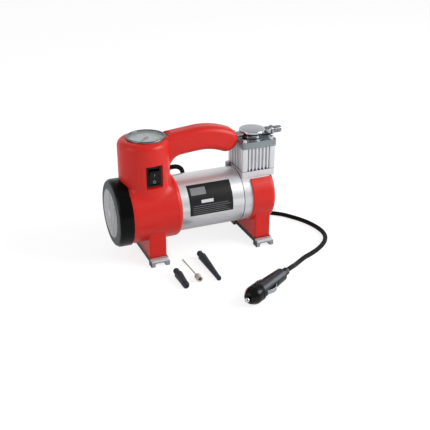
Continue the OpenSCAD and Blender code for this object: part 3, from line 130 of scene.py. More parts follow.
class CompressorSizes(bpy.types.PropertyGroup):
    """Sizes of the pieces that this script adds."""
    cord_d: length_prop("Cord diameter", 5.0, "Outer diameter of the power cord")
    cord_length: FloatProperty(
        name="Cord length", description="Real length of the power cord", unit="LENGTH", default=2.93)
    plate_x0: length_prop("Plate left", -22.9, "Left end of the plate on the motor")
    plate_x1: length_prop("Plate right", 25.5, "Right end of the plate on the motor")
    plate_low: angle_prop("Plate bottom", -9.0, "Angle of the plate's lower edge above level")
    plate_high: angle_prop("Plate top", 56.0, "Angle of the plate's upper edge above level")
    thread_pitch: length_prop("Thread pitch", 1.0, "Pitch of the outlet's and the adapters' threads")
    fillet: length_prop("Column fillet", 18.0, "Radius that blends the column into the barrel")
    dial_steps: IntProperty(name="Dial steps", description="Numbered steps on the dial", default=5, min=2)


class CompressorStage(bpy.types.PropertyGroup):
    """Camera and light."""
    azimuth: angle_prop("Azimuth", -22.64, "Camera's turn from the front")
    elevation: angle_prop("Elevation", 25.3, "Camera's height angle")
    distance: length_prop("Distance", 854.91, "Camera's distance from its target")
    lens: FloatProperty(name="Lens", description="Focal length in millimetres", default=65.34)
    key: power_prop("Key light", 12.0, "Power of the right light")
    fill: power_prop("Fill light", 2.0, "Power of the left light")
    ambient: FloatProperty(name="Ambient", description="Brightness of the surroundings", default=0.52)


def colours():
    return bpy.context.scene.compressor_colours


def sizes():
    return bpy.context.scene.compressor_sizes


# Finishes

EVEN = (1, 1, 1)
UPRIGHT = (1, 1, 0.06)
LENGTHWISE = (0.1, 1, 1)


def feed(tree, node, values):
    """Gives each input of a node its number, or the output that feeds it."""
    for name, value in values.items():
        if isinstance(value, bpy.types.NodeSocket):
            tree.links.new(value, node.inputs[name])
        else:
            node.inputs[name].default_value = value


class Finish:
    """One node material, built up step by step from Object coordinates."""

    def __init__(self, name, colour, metallic=0.0, roughness=0.4):
        self.material = bpy.data.materials.new(name)
        self.material.use_nodes = True
        self.tree = self.material.node_tree
        self.tree.nodes.clear()
        base = {"Base Color": (*colour, 1.0), "Metallic": metallic, "Roughness": roughness}
        self.shader = self.add("ShaderNodeBsdfPrincipled", base)
        self.add("ShaderNodeOutputMaterial", {"Surface": self.shader.outputs["BSDF"]})
        self.place = self.add("ShaderNodeTexCoord").outputs["Object"]
        self.normal = None

    def add(self, kind, values=None, **settings):
        """New node with its settings, its inputs fed by name or place."""
        node = self.tree.nodes.new(kind)
        for key, value in settings.items():
            setattr(node, key, value)
        feed(self.tree, node, values or {})
        return node

    def set(self, socket, value):
        feed(self.tree, self.shader, {socket: value})

    def noise(self, scale, detail, stretch=EVEN):
        mapped = self.add("ShaderNodeMapping", {"Vector": self.place, "Scale": stretch})
        values = {"Vector": mapped.outputs["Vector"], "Scale": scale, "Detail": detail}
        return self.add("ShaderNodeTexNoise", values).outputs["Fac"]

    def bands(self, scale, direction, distortion=0.0):
        values = {"Vector": self.place, "Scale": scale, "Distortion": distortion}
        node = self.add("ShaderNodeTexWave", values, wave_type="BANDS", bands_direction=direction)
        return node.outputs["Fac"]

    def cells(self, scale):
        return self.add("ShaderNodeTexVoronoi", {"Vector": self.place, "Scale": scale}).outputs["Distance"]

    def span(self, value, low, high, start=0.3, end=0.7):
        """Goes from low to high while value goes from start to end."""
        values = {"Value": value, "From Min": start, "From Max": end, "To Min": low, "To Max": high}
        return self.add("ShaderNodeMapRange", values).outputs["Result"]

    def math(self, operation, first, second=0.0):
        return self.add("ShaderNodeMath", {0: first, 1: second}, operation=operation).outputs["Value"]

    def vector(self, operation, first, second=(0, 0, 0)):
        return self.add("ShaderNodeVectorMath", {0: first, 1: second}, operation=operation).outputs

    def between(self, value, rise, fall):
        """1 from the end of rise to the start of fall, and 0 outside both."""
        return self.math("MULTIPLY", self.span(value, 0.0, 1.0, *rise), self.span(value, 1.0, 0.0, *fall))

    def off(self, value, middle):
        """Distance of a value from a middle, on either side."""
        return self.math("ABSOLUTE", self.math("SUBTRACT", value, middle))

    def radius(self, centre, across):
        """Distance from a line: centre in metres, across masks the directions that count."""
        shifted = self.vector("SUBTRACT", self.place, centre)["Vector"]
        flat = self.vector("MULTIPLY", shifted, across)["Vector"]
        return self.vector("LENGTH", flat)["Value"]

    def along(self, axis):
        return self.add("ShaderNodeSeparateXYZ", {"Vector": self.place}).outputs[axis]

    def towards(self, direction):
        """Distance along a direction from the origin."""
        return self.vector("DOT_PRODUCT", self.place, direction)["Value"]

    def rounded(self, radius):
        """Normal that rounds sharp corners by a radius in millimetres."""
        return self.add("ShaderNodeBevel", {"Radius": radius * MM}, samples=6).outputs["Normal"]

    def edges(self, radius):
        """Near 1 where the surface turns a corner, and 0 on plain faces."""
        flat = self.add("ShaderNodeNewGeometry").outputs["Normal"]
        match = self.vector("DOT_PRODUCT", self.rounded(radius), flat)["Value"]
        return self.span(match, 1.0, 0.0, 0.82, 0.99)

    def blend(self, amount, other):
        """Mixes another colour into the base colour by a 0 to 1 value."""
        socket = self.shader.inputs["Base Color"]
        base = socket.links[0].from_socket if socket.is_linked else socket.default_value
        mixed = self.add("ShaderNodeMix", {0: amount, 6: base, 7: (*other, 1.0)}, data_type="RGBA")
        self.set("Base Color", mixed.outputs[2])

    def rough(self, value, low, high):
        self.set("Roughness", self.span(value, low, high))

    def soften(self, radius):
        """Rounds the look of sharp corners by a radius in millimetres."""
        self.normal = self.rounded(radius)
        self.set("Normal", self.normal)

    def bump(self, height, strength, distance):
        """Raises the surface by a height pattern, with a distance in millimetres."""
        values = {"Height": height, "Strength": strength, "Distance": distance * MM}
        if self.normal is not None:
            values["Normal"] = self.normal
        self.normal = self.add("ShaderNodeBump", values).outputs["Normal"]
        self.set("Normal", self.normal)


def tone(code):
    """Linear colour of a screen colour, or of a colour that the panel holds."""
    return srgb(code) if code.startswith("#") else tuple(getattr(colours(), code))


def lighter(colour, amount):
    return tuple(min(1.0, c + (1.0 - c) * amount) for c in colour)


def darker(colour, amount):
    return tuple(c * (1.0 - amount) for c in colour)


def moulded(name, code, low, high, grain, shine=0.25):
    """Moulded plastic: faint cloudiness, fine grain and a soft shine."""
    colour = tone(code)
    f = Finish(name, colour)
    f.blend(f.span(f.noise(60, 4), 0.0, 0.2), darker(colour, 0.25))
    f.rough(f.noise(220, 4), low, high)
    f.bump(f.noise(2600, 2), grain, 0.02)
    f.set("Specular IOR Level", shine)
    return f


def metal(name, code, low, high, streak, scale, depth, edge, stain=0.2, metallic=1.0):
    """Worked metal: streaks along the cut, faint staining and bright corners."""
    colour = tone(code)
    f = Finish(name, colour, metallic)
    f.soften(edge)
    lines = f.noise(scale, 4, streak)
    f.blend(f.span(f.noise(90, 5), 0.0, stain), darker(colour, 0.35))
    f.blend(f.span(f.edges(edge), 0.0, 0.35, 0.0, 1.0), lighter(colour, 0.5))
    f.rough(lines, low, high)
    f.bump(lines, depth, 0.01)
    return f


# Colour, lowest and highest roughness, grain and shine
PLASTICS = {
    "red_plastic": ("red", 0.3, 0.4, 0.05, 0.3),
    "black_gloss": ("black", 0.16, 0.26, 0.04, 0.2),
    "lamp_black": ("black", 0.14, 0.22, 0.04, 0.1),
    "black_matte": ("matte", 0.38, 0.52, 0.2, 0.2),
    "grip_black": ("matte", 0.3, 0.42, 0.1, 0.25),
    "black_rubber": ("rubber", 0.42, 0.6, 0.35, 0.12),
    "adapter_plastic": ("adapter", 0.38, 0.5, 0.2, 0.2),
    "dial_white": ("dial", 0.4, 0.52, 0.06),
    "needle_black": ("#131315", 0.3, 0.4, 0.06),
    "print_white": ("#d0d1d2", 0.35, 0.5, 0.1),
    "print_grey": ("#7d7e80", 0.35, 0.5, 0.1),
    "plate_black": ("#1b1a1c", 0.3, 0.42, 0.08),
    "shadow_line": ("#232427", 0.5, 0.65, 0.1, 0.1),
    "magnet": ("#3b3c3f", 0.55, 0.7, 0.4),
    "carbon": ("#232427", 0.45, 0.6, 0.45),
    "ceramic": ("#d6d2c6", 0.4, 0.55, 0.2),
    "fibre": ("#7b5a33", 0.5, 0.65, 0.3),
    "gasket": ("#2c2d2f", 0.55, 0.7, 0.3, 0.15),
}

# Colour, lowest and highest roughness, run, scale and depth of the streaks, corner, staining, metallic
METALS = {
    "aluminium": ("aluminium", 0.28, 0.42, UPRIGHT, 1200, 0.14, 0.35, 0.2, 0.5),
    "rail_silver": ("aluminium", 0.3, 0.42, UPRIGHT, 1200, 0.12, 0.4, 0.2, 0.6),
    "satin_head": ("#899196", 0.34, 0.48, EVEN, 1500, 0.2, 0.35, 0.2, 0.7),
    "cap_satin": ("#b4b8bb", 0.3, 0.42, EVEN, 1500, 0.1, 0.2, 0.2, 0.8),
    "chrome": ("chrome", 0.05, 0.1, EVEN, 400, 0.02, 0.25, 0.1),
    "cap_chrome": ("chrome", 0.06, 0.12, EVEN, 400, 0.02, 0.25, 0.1),
    "outlet_steel": ("#a4a8ac", 0.1, 0.18, EVEN, 400, 0.03, 0.25, 0.1),
    "nickel": ("#cbc7bb", 0.36, 0.48, EVEN, 700, 0.06, 0.15, 0.2, 0.4),
    "steel": ("#a9adb2", 0.25, 0.4, LENGTHWISE, 900, 0.1, 0.2),
    "ring_silver": ("#74787c", 0.2, 0.32, EVEN, 700, 0.06, 0.3),
    "dark_screws": ("#3c3d40", 0.3, 0.45, EVEN, 900, 0.12, 0.2),
    "brass": ("#c3a04a", 0.2, 0.34, EVEN, 600, 0.08, 0.2),
    "copper": ("#b0643a", 0.24, 0.36, LENGTHWISE, 900, 0.05, 0.2),
    "laminations": ("#8f9296", 0.34, 0.46, EVEN, 900, 0.08, 0.2),
    "mirror_coat": ("#d7d9dc", 0.1, 0.2, EVEN, 300, 0.05, 0.2, 0.15),
}


def grip_painted_sheen(f):
    """Plug's grip, with a painted highlight: a soft bright band along its flat."""
    shift, fade = 0.0012, (0.0004, 0.0025)
    place = plug_place()
    across = place.to_3x3() @ Vector((math.sin(PLUG_FLAT), math.cos(PLUG_FLAT), 0))
    band = across.dot(place.translation * MM) + shift
    # Painted highlight: the grip is lightened in a band along its flat, standing in for the sheen of a
    # light.
    f.blend(f.span(f.off(f.towards(across), band), 0.85, 0.0, *fade), srgb("#6f747c"))


def lamp_front(f):
    """Matt grey front ring on the glossy bezel, and a dark groove about the lens."""
    face_x, inner, outer = -0.0975, (0.0266, 0.0271), (0.0329, 0.0335)
    r = f.radius((0, 0, AXIS_Z * MM), (0, 1, 1))
    front = f.math("LESS_THAN", f.along("X"), face_x)
    ring = f.math("MULTIPLY", front, f.between(r, inner, outer))
    f.blend(ring, colours().lamp_ring)
    f.set("Roughness", f.math("ADD", f.span(f.noise(220, 4), 0.14, 0.22), f.math("MULTIPLY", ring, 0.35)))


def cap_rings(f):
    """Cap's top, turned in fine rings."""
    r = f.radius((CYLINDER_X * MM, 0, 0), (1, 1, 0))
    f.bump(f.math("SINE", f.math("MULTIPLY", r, 9000.0)), 0.15, 0.03)


def cap_painted_shade(f):
    """Painted shade and painted dark reflection in the narrow gaps under the cap's disc and at its foot."""
    below_disc, disc, foot_z = (0.1182, 0.1196), (0.1219, 0.1221), (0.1161, 0.1168)
    z = f.along("Z")
    under = f.between(z, below_disc, disc)
    foot = f.span(z, 1.0, 0.0, *foot_z)
    # Painted shade and painted dark reflection: the chrome is darkened under the disc and at the foot.
    f.blend(f.math("MAXIMUM", under, foot), srgb("#26272a"))


def rail_painted_shade(f):
    """Foot rail with painted shade: a darker lower half, and black along its sides and under the legs."""
    painted_shade_z, leg_y, rail_x = (0.0051, 0.0058), (0.0294, 0.0298), (0.0094, 0.0097)
    # Painted shade: the rail's lower half is darkened.
    f.blend(f.span(f.along("Z"), 1.0, 0.0, *painted_shade_z), srgb("#8d9094"))
    under = f.span(f.math("ABSOLUTE", f.along("Y")), 1.0, 0.0, *leg_y)
    off_rail = f.off(f.off(f.along("X"), RAIL_MIDDLE * MM), RAIL_HALF_SPAN * MM)
    side = f.math("MAXIMUM", under, f.span(off_rail, 0.0, 1.0, *rail_x))
    # Painted shade: the sides and the stretch under the legs are painted black and made less metallic.
    f.blend(side, colours().rubber)
    f.set("Metallic", f.span(side, 0.6, 0.0, 0.0, 1.0))


def wire_turns(f):
    """Enamelled winding wire: turns side by side along the slots."""
    f.bump(f.bands(420, "Y"), 0.5, 0.2)


def sheet_edges(f):
    """Stacked steel sheets seen on edge."""
    f.bump(f.bands(480, "X"), 0.4, 0.1)


def fibres(f):
    """Pressed fibres across the sheet."""
    f.bump(f.bands(700, "DIAGONAL", 1.5), 0.2, 0.05)


def mirror_ribs(f):
    """Shallow ribs across the reflector."""
    f.bump(f.bands(150, "Y"), 0.35, 0.3)


DETAILS = {
    "grip_black": grip_painted_sheen,
    "lamp_black": lamp_front,
    "cap_satin": cap_rings,
    "cap_chrome": cap_painted_shade,
    "rail_silver": rail_painted_shade,
    "copper": wire_turns,
    "laminations": sheet_edges,
    "fibre": fibres,
    "gasket": fibres,
    "mirror_coat": mirror_ribs,
}


def silver_paint():
    """Silver paint drawn out along the tube, with a fine flake, painted shade below and a painted highlight
    above.
    """
    f = Finish("silver_paint", colours().silver, metallic=0.7)
    lines = f.noise(90, 5, (0.2, 16, 16))
    f.blend(f.span(lines, 0.0, 0.2), darker(colours().silver, 0.3))
    f.blend(f.span(f.cells(2600), 0.12, 0.0, 0.0, 0.5), (0.85, 0.85, 0.87))
    painted_shade_z, painted_highlight_z = (0.026, 0.05), (0.045, 0.066)
    # Painted shade and painted highlight: the tube is darkened low down and lightened high up.
    f.blend(f.span(f.along("Z"), 0.75, 0.0, *painted_shade_z), srgb("#84878b"))
    f.blend(f.span(f.along("Z"), 0.0, 0.8, *painted_highlight_z), srgb("#eceef0"))
    f.rough(lines, 0.27, 0.35)
    f.bump(lines, 0.015, 0.02)
    return f


def lamp_glass():
    """Ribbed lens: half clear, with upright streaks and a painted glint of the bulb in the middle."""
    f = Finish("lamp_glass", srgb("#7c7f84"), 0.0, 0.2)
    f.set("Transmission Weight", 0.2)
    f.set("IOR", 1.49)
    r = f.radius((0, 0, AXIS_Z * MM), (0, 1, 1))
    f.blend(f.span(f.noise(90, 3, (1, 4, 0.25)), 0.0, 0.9, 0.4, 0.6), srgb("#a6a9ae"))
    # Painted glint: the middle of the lens is lightened.
    f.blend(f.span(r, 0.9, 0.0, 0.0005, 0.007), srgb("#c9ccd0"))
    f.rough(f.noise(180, 3), 0.14, 0.28)
    f.bump(f.bands(135, "Y"), 0.2, 0.3)
    return f


def gauge_glass():
    """Thin clear cover, seen mostly by its shine."""
    f = Finish("gauge_glass", srgb("#e4e8e8"), 0.0, 0.05)
    f.set("Alpha", 0.22)
    f.rough(f.noise(180, 3), 0.03, 0.07)
    f.bump(f.noise(120, 2), 0.06, 0.1)
    return f


def bulb_glass():
    """Small clear bulb with faint waviness."""
    f = Finish("bulb_glass", srgb("#f4f0e4"), 0.0, 0.05)
    f.set("Transmission Weight", 1.0)
    f.set("IOR", 1.49)
    f.rough(f.noise(180, 3), 0.03, 0.07)
    f.bump(f.noise(120, 2), 0.04, 0.1)
    return f


OTHERS = {
    "silver_paint": silver_paint,
    "lamp_glass": lamp_glass,
    "gauge_glass": gauge_glass,
    "bulb_glass": bulb_glass,
}
NODE_FINISHES = {
    "red_plastic": ("housing_front", "housing_back", "crankcase_cover"),
    "lamp_black": ("lamp_bezel",),
    "black_gloss": ("switch_rocker", "switch_body", "plug_cap"),
    "black_matte": ("gauge_case", "plug_body"),
    "black_rubber": (
        "piston_ring", "cord_boot", "power_cord_lead", "power_cord_coil", "power_cord_tail", "cord_tie"),
    "lamp_glass": ("lamp_lens",),
    "gauge_glass": ("gauge_lens",),
    "bulb_glass": ("lamp_bulb",),
    "mirror_coat": ("lamp_reflector",),
    "ceramic": ("lamp_socket",),
    "dial_white": ("gauge_dial",),
    "needle_black": ("gauge_needle",),
    "ring_silver": ("gauge_bezel",),
    "brass": ("gauge_movement", "gauge_tube"),
    "chrome": ("gauge_nipple", "head_screws", "plug_tip"),
    "cap_chrome": ("head_cap",),
    "outlet_steel": ("outlet_fitting", "plug_contacts"),
    "silver_paint": ("motor_tube",),
    "magnet": ("field_magnets",),
    "aluminium": ("rear_end_bell", "crankcase", "connecting_rod", "piston", "cylinder_block"),
    "satin_head": ("cylinder_head", "valve_plate"),
    "steel": ("rear_bearing", "front_bearing", "motor_shaft", "crank_disc", "wrist_pin"),
    "fibre": ("brush_plate",),
    "gasket": ("base_gasket",),
    "carbon": ("carbon_brushes",),
    "laminations": ("armature_core",),
    "copper": ("armature_windings", "commutator"),
    "dark_screws": ("housing_screws", "cover_screws", "foot_screws"),
    "rail_silver": ("foot_rail_left", "foot_rail_right", "foot_pads"),
    "nickel": ("ball_needle",),
    "adapter_plastic": ("nozzle_short", "nozzle_long"),
}
MADE = {}


def finish(name):
    """The material of one finish, made once."""
    if name not in MADE:
        if name in PLASTICS:
            f = moulded(name, *PLASTICS[name])
        elif name in METALS:
            f = metal(name, *METALS[name])
        else:
            f = OTHERS[name]()
        if name in DETAILS:
            DETAILS[name](f)
        MADE[name] = f.material
    return MADE[name]


# Modelling helpers, in millimetres


def box(node):
    """Lowest and highest corners of a node."""
    return [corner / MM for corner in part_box(node)]


def placed(origin, direction):
    """Matrix that stands a shape's upright axis at origin along direction."""
    turn = Vector((0, 0, 1)).rotation_difference(Vector(direction))
    return Matrix.Translation(origin) @ turn.to_matrix().to_4x4()


def turned_shape(points, steps):
    """Closed shape of (radius, height) points spun about the upright axis."""
    bm = bmesh.new()
    verts = [bm.verts.new((r, 0, h)) for r, h in points]
    edges = [bm.edges.new(pair) for pair in zip(verts, verts[1:])]
    bmesh.ops.spin(
        bm, geom=verts + edges, cent=(0, 0, 0), axis=(0, 0, 1), angle=2 * math.pi, steps=steps,
        use_merge=True)
    return bm


def prism(sides, r, height, base=0.0, tip=None):
    """Upright prism or taper with capped ends."""
    bm = bmesh.new()
    top = r if tip is None else tip
    bmesh.ops.create_cone(
        bm, cap_ends=True, segments=sides, radius1=r, radius2=top, depth=height,
        matrix=Matrix.Translation((0, 0, base + height / 2)))
    return bm


def bevel_corners(bm, width, segments=2, limit=0.5):
    """Rounds the edges whose faces turn by more than limit."""
    sharp = [e for e in bm.edges if len(e.link_faces) == 2 and e.calc_face_angle() > limit]
    bmesh.ops.bevel(
        bm, geom=sharp, offset=width, segments=segments, profile=0.5, affect="EDGES", material=-1)
    return bm


def sleeve(size, axis, corner_r, segments, wall):
    """Open square sleeve along one axis, with rounded corners."""
    bm = bmesh.new()
    bmesh.ops.create_cube(bm, size=1)
    bmesh.ops.scale(bm, vec=size, verts=bm.verts)
    ends = [f for f in bm.faces if abs(f.normal[axis]) > 0.9]
    bmesh.ops.delete(bm, geom=ends, context="FACES_ONLY")
    corners = [e for e in bm.edges if abs((e.verts[0].co - e.verts[1].co)[axis]) > size[axis] / 2]
    bmesh.ops.bevel(
        bm, geom=corners, offset=corner_r, segments=segments, profile=0.5, affect="EDGES", material=-1)
    bmesh.ops.recalc_face_normals(bm, faces=bm.faces)
    bmesh.ops.solidify(bm, geom=bm.faces[:], thickness=wall)
    return bm


def pour(bm, part, slot):
    """Adds a part to bm as it stands, with its own material slot."""
    for face in part.faces:
        face.material_index = slot
    copy = bpy.data.meshes.new("part")
    part.to_mesh(copy)
    part.free()
    bm.from_mesh(copy)
    bpy.data.meshes.remove(copy)


def join(bm, part, place):
    """Adds a finished part to bm at its place."""
    bmesh.ops.remove_doubles(part, verts=part.verts, dist=0.0005)
    bmesh.ops.recalc_face_normals(part, faces=part.faces)
    bmesh.ops.transform(part, matrix=place, verts=part.verts)
    pour(bm, part, 0)


def islands(node):
    """Lowest and highest corners, in millimetres, of each separate solid of a node."""
    bm = bmesh.new()
    bm.from_mesh(frame["nodes"][node].data)
    bmesh.ops.remove_doubles(bm, verts=bm.verts, dist=0.001 * MM)
    left = set(bm.verts)
    boxes = []
    while left:
        reached = [left.pop()]
        for vert in reached:
            near = {edge.other_vert(vert) for edge in vert.link_edges} & left
            left -= near
            reached += near
        spread = [[vert.co[i] / MM for vert in reached] for i in range(3)]
        boxes.append((Vector([min(v) for v in spread]), Vector([max(v) for v in spread])))
    bm.free()
    return boxes


def make_piece(name, bm, body, finishes, replaced=(), crease=0.6):
    """Turns bm, in millimetres, into a piece that rides on a body."""
    bmesh.ops.scale(bm, vec=(MM, MM, MM), verts=bm.verts)
    mesh = bpy.data.meshes.new(name)
    bm.to_mesh(mesh)
    bm.free()
    for look in finishes:
        mesh.materials.append(finish(look))
    mesh.polygons.foreach_set("use_smooth", [True] * len(mesh.polygons))
    mesh.set_sharp_from_angle(angle=crease)
    obj = bpy.data.objects.new(name, mesh)
    bpy.context.scene.collection.objects.link(obj)
    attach(obj, body)
    if replaced:
        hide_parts(*replaced)
    return obj


def assemble(name, parts, look, replaced=(), crease=0.6):
    """One piece of the pump from finished shapes, each with its place."""
    bm = bmesh.new()
    for shape, place in parts:
        join(bm, shape, place)
    make_piece(name, bm, PUMP, [look], replaced, crease)


def thread_profile(r, start, end, pitch, depth):
    """(radius, height) points of a ridged stretch from start to end."""
    count = max(1, round((end - start) / pitch))
    step = (end - start) / count
    points = []
    for i in range(count):
        z = start + i * step
        points += [(r - depth, z + 0.1 * step), (r, z + 0.4 * step)]
        points += [(r, z + 0.6 * step), (r - depth, z + 0.9 * step)]
    return points


def cross_head(r, height):
    """Pan head with a cross recess, standing on its seat."""
    arm = 0.62 * r
    half = 0.15 * r
    bm = bmesh.new()
    grid = bmesh.ops.create_grid(bm, x_segments=3, y_segments=3, size=1)
    for v in grid["verts"]:
        v.co.x = math.copysign(half if abs(v.co.x) < 0.5 else arm, v.co.x)
        v.co.y = math.copysign(half if abs(v.co.y) < 0.5 else arm, v.co.y)
        v.co.z = height
    cross = [f for f in bm.faces if min(abs(v) for v in f.calc_center_median().xy) < half]
    rim = [e for e in bm.edges if e.is_boundary]
    lip = Matrix.Translation((0, 0, 0.9 * height))
    bmesh.ops.create_circle(bm, segments=24, radius=0.86 * r, matrix=lip)
    ring = [e for e in bm.edges if e.is_wire]
    bmesh.ops.bridge_loops(bm, edges=rim + ring)
    for size, z in ((r, 0.45 * height), (r, 0.0)):
        edge = [e for e in bm.edges if e.is_boundary]
        new = bmesh.ops.extrude_edge_only(bm, edges=edge)["geom"]
        verts = [g for g in new if isinstance(g, bmesh.types.BMVert)]
        for v in verts:
            flat = Vector((v.co.x, v.co.y)).normalized() * size
            v.co = (flat.x, flat.y, z)
    bmesh.ops.holes_fill(bm, edges=[e for e in bm.edges if e.is_boundary])
    sunk = bmesh.ops.extrude_face_region(bm, geom=cross)["geom"]
    bmesh.ops.translate(
        bm, vec=(0, 0, -0.6 * height), verts=[g for g in sunk if isinstance(g, bmesh.types.BMVert)])
    bmesh.ops.delete(bm, geom=cross, context="FACES_ONLY")
    return bm


# Cord

CORD_LEAD = [
    (-36.927, 22, 84.106), (-31.927, 22, 84.106), (-27, 22, 84.4), (-22.2, 22, 84.9), (-17.9, 22.3, 84.1),
    (-14.3, 23.3, 82), (-11.7, 25, 78.8), (-10, 27.3, 74.6), (-8.9, 30, 69.4), (-8.1, 32.7, 62.8),
    (-7.5, 35, 55.4), (-7, 37, 46), (-6.6, 39, 35), (-6.5, 41, 24), (-6.5, 44.5, 14), (-6.5, 51, 7),
    (-6.2, 59, 4.2), (-6, 66, 3.5), (-6, 71, 3.5)]
CORD_FLOOR = [
    (75, 62, 15), (80.5, 52.5, 9), (88, 44, 4), (96, 38, 2.6), (105, 32, 2.6), (113, 25, 2.6),
    (120.5, 14.5, 2.6), (127, 3, 2.6), (131.8, -9.5, 2.6), (134.3, -22.5, 2.6), (134, -36, 2.6),
    (129.5, -48, 2.6), (121.5, -58, 2.6), (111, -66.5, 2.6), (99, -73.5, 2.6), (86, -79.5, 2.6),
    (76, -86, 2.8), (68, -93, 4.6), (61.5, -99.5, 7.5)]
PLUG_REAR = Vector((50.8, -107.4, 9.2))
PLUG_TURN = math.radians(210.8)
PLUG_FLAT = math.radians(38)
PLUG_AHEAD = Vector((math.cos(PLUG_TURN), math.sin(PLUG_TURN), 0))
COIL_CENTRE = Vector((32, 76, 0))
COIL_R = 38.0
COIL_PITCH = 5.6
COIL_LAYER = 5.5
COIL_LAYERS = 4
COIL_TURNS = 14 + 160 / 360
COIL_Z = 3.5
COIL_STEPS = 24
COIL_LEAVES = math.radians(20)


def ease(x):
    """Soft step from 0 to 1."""
    x = min(max(x, 0.0), 1.0)
    return x * x * (3 - 2 * x)


def coil_point(t):
    """Centre of the cord after t turns: layers wound in and out by turns, one on the other."""
    layer_turns = COIL_TURNS / COIL_LAYERS
    u = t / layer_turns
    k = min(math.floor(u), COIL_LAYERS - 1)
    inward = u - k if k % 2 == 0 else 1 - u + k
    r = COIL_R - COIL_PITCH * layer_turns * inward
    a = math.radians(180 - 360 * t)
    z = COIL_Z + COIL_LAYER * sum(ease((t - i * layer_turns) * 2 + 0.5) for i in range(1, COIL_LAYERS))
    return COIL_CENTRE + Vector((r * math.cos(a), r * math.sin(a), z))


def cord_points():
    """Middle line of the cord from its boot to the plug."""
    count = round(COIL_TURNS * COIL_STEPS)
    coil = [coil_point(i * COIL_TURNS / count) for i in range(count + 1)]
    away = Vector((math.sin(COIL_LEAVES), -math.cos(COIL_LEAVES), 0))
    leave = [coil[-1] + away * 5, coil[-1] + away * 13]
    lead, floor = ([Vector(p) for p in points] for points in (CORD_LEAD, CORD_FLOOR))
    return lead + coil + leave + floor + [PLUG_REAR - PLUG_AHEAD * 5, PLUG_REAR]


class CompressorOperator:
    """What every operator here shares."""
    bl_options = {"REGISTER", "UNDO"}


class COMPRESSOR_OT_power_cord(CompressorOperator, bpy.types.Operator):
    """Power cord from the boot over the coil to the plug, as one curve"""
    bl_idname = "compressor.power_cord"
    bl_label = "Power cord"

    def execute(self, context):
        points = [p * MM for p in cord_points()]
        curve = bpy.data.curves.new("power_cord", "CURVE")
        curve.dimensions = "3D"
        curve.bevel_depth = sizes().cord_d / 2
        curve.bevel_resolution = 3
        curve.resolution_u = 4
        curve.use_fill_caps = True
        spline = curve.splines.new("BEZIER")
        spline.bezier_points.add(len(points) - 1)
        for knot, point in zip(spline.bezier_points, points):
            knot.co = point
            knot.handle_left_type = "AUTO"
            knot.handle_right_type = "AUTO"
        curve.materials.append(finish("black_rubber"))
        cord = bpy.data.objects.new("power_cord", curve)
        context.scene.collection.objects.link(cord)
        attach(cord, PUMP)
        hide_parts("power_cord_lead", "power_cord_coil", "power_cord_tail")
        on_it = [frame["nodes"][n] for n in ("plug_contacts", "plug_tip")]
        on_it += [bpy.data.objects[n] for n in ("plug_grip", "plug_nose", "coil_strap")]
        return {"FINISHED"}


class COMPRESSOR_OT_coil_strap(CompressorOperator, bpy.types.Operator):
    """Strap that holds the coil, a band with rounded corners"""
    bl_idname = "compressor.coil_strap"
    bl_label = "Coil strap"

    def execute(self, context):
        low, high = box("cord_tie")
        bm = sleeve(high - low, axis=0, corner_r=2.2, segments=5, wall=1.0)
        bmesh.ops.translate(bm, vec=(low + high) / 2, verts=bm.verts)
        strap = make_piece("coil_strap", bm, PUMP, ["black_matte"], ["cord_tie"])
        soft = strap.modifiers.new("soft_edges", "BEVEL")
        soft.width = 0.25 * MM
        soft.segments = 2
        soft.limit_method = "ANGLE"
        return {"FINISHED"}


class COMPRESSOR_OT_cord_boot(CompressorOperator, bpy.types.Operator):
    """Ribbed strain relief where the cord leaves the housing"""
    bl_idname = "compressor.cord_boot"
    bl_label = "Cord boot"

    def execute(self, context):
        low, high = box("cord_boot")
        length = high.x - low.x
        r = (high.z - low.z) / 2
        end_r = 2.75
        inside = 7.0
        points = [(0, 0), (r, 0), (r, inside)]
        ribs = 4
        step = (length - inside - 0.8) / ribs
        for i in range(ribs):
            z = inside + 0.4 + i * step
            here = r + (end_r - r) * (i + 0.5) / ribs
            points += [(here - 0.45, z), (here - 0.45, z + 0.3 * step)]
            points += [(here, z + 0.42 * step), (here, z + 0.95 * step)]
        points += [(end_r - 0.1, length), (0, length)]
        middle = (low + high) / 2
        place = placed((low.x, middle.y, middle.z), (1, 0, 0))
        boot = turned_shape(points, 40)
        assemble("cord_boot_ribbed", [(boot, place)], "black_rubber", ["cord_boot"])
        return {"FINISHED"}


# Plug and adapters


def plug_place():
    """Matrix that lays a shape's upright axis along the plug, with its foot at the plug's rear."""
    turn = Matrix.Rotation(PLUG_TURN, 4, "Z") @ Matrix.Rotation(math.radians(90), 4, "Y")
    return Matrix.Translation(PLUG_REAR) @ turn


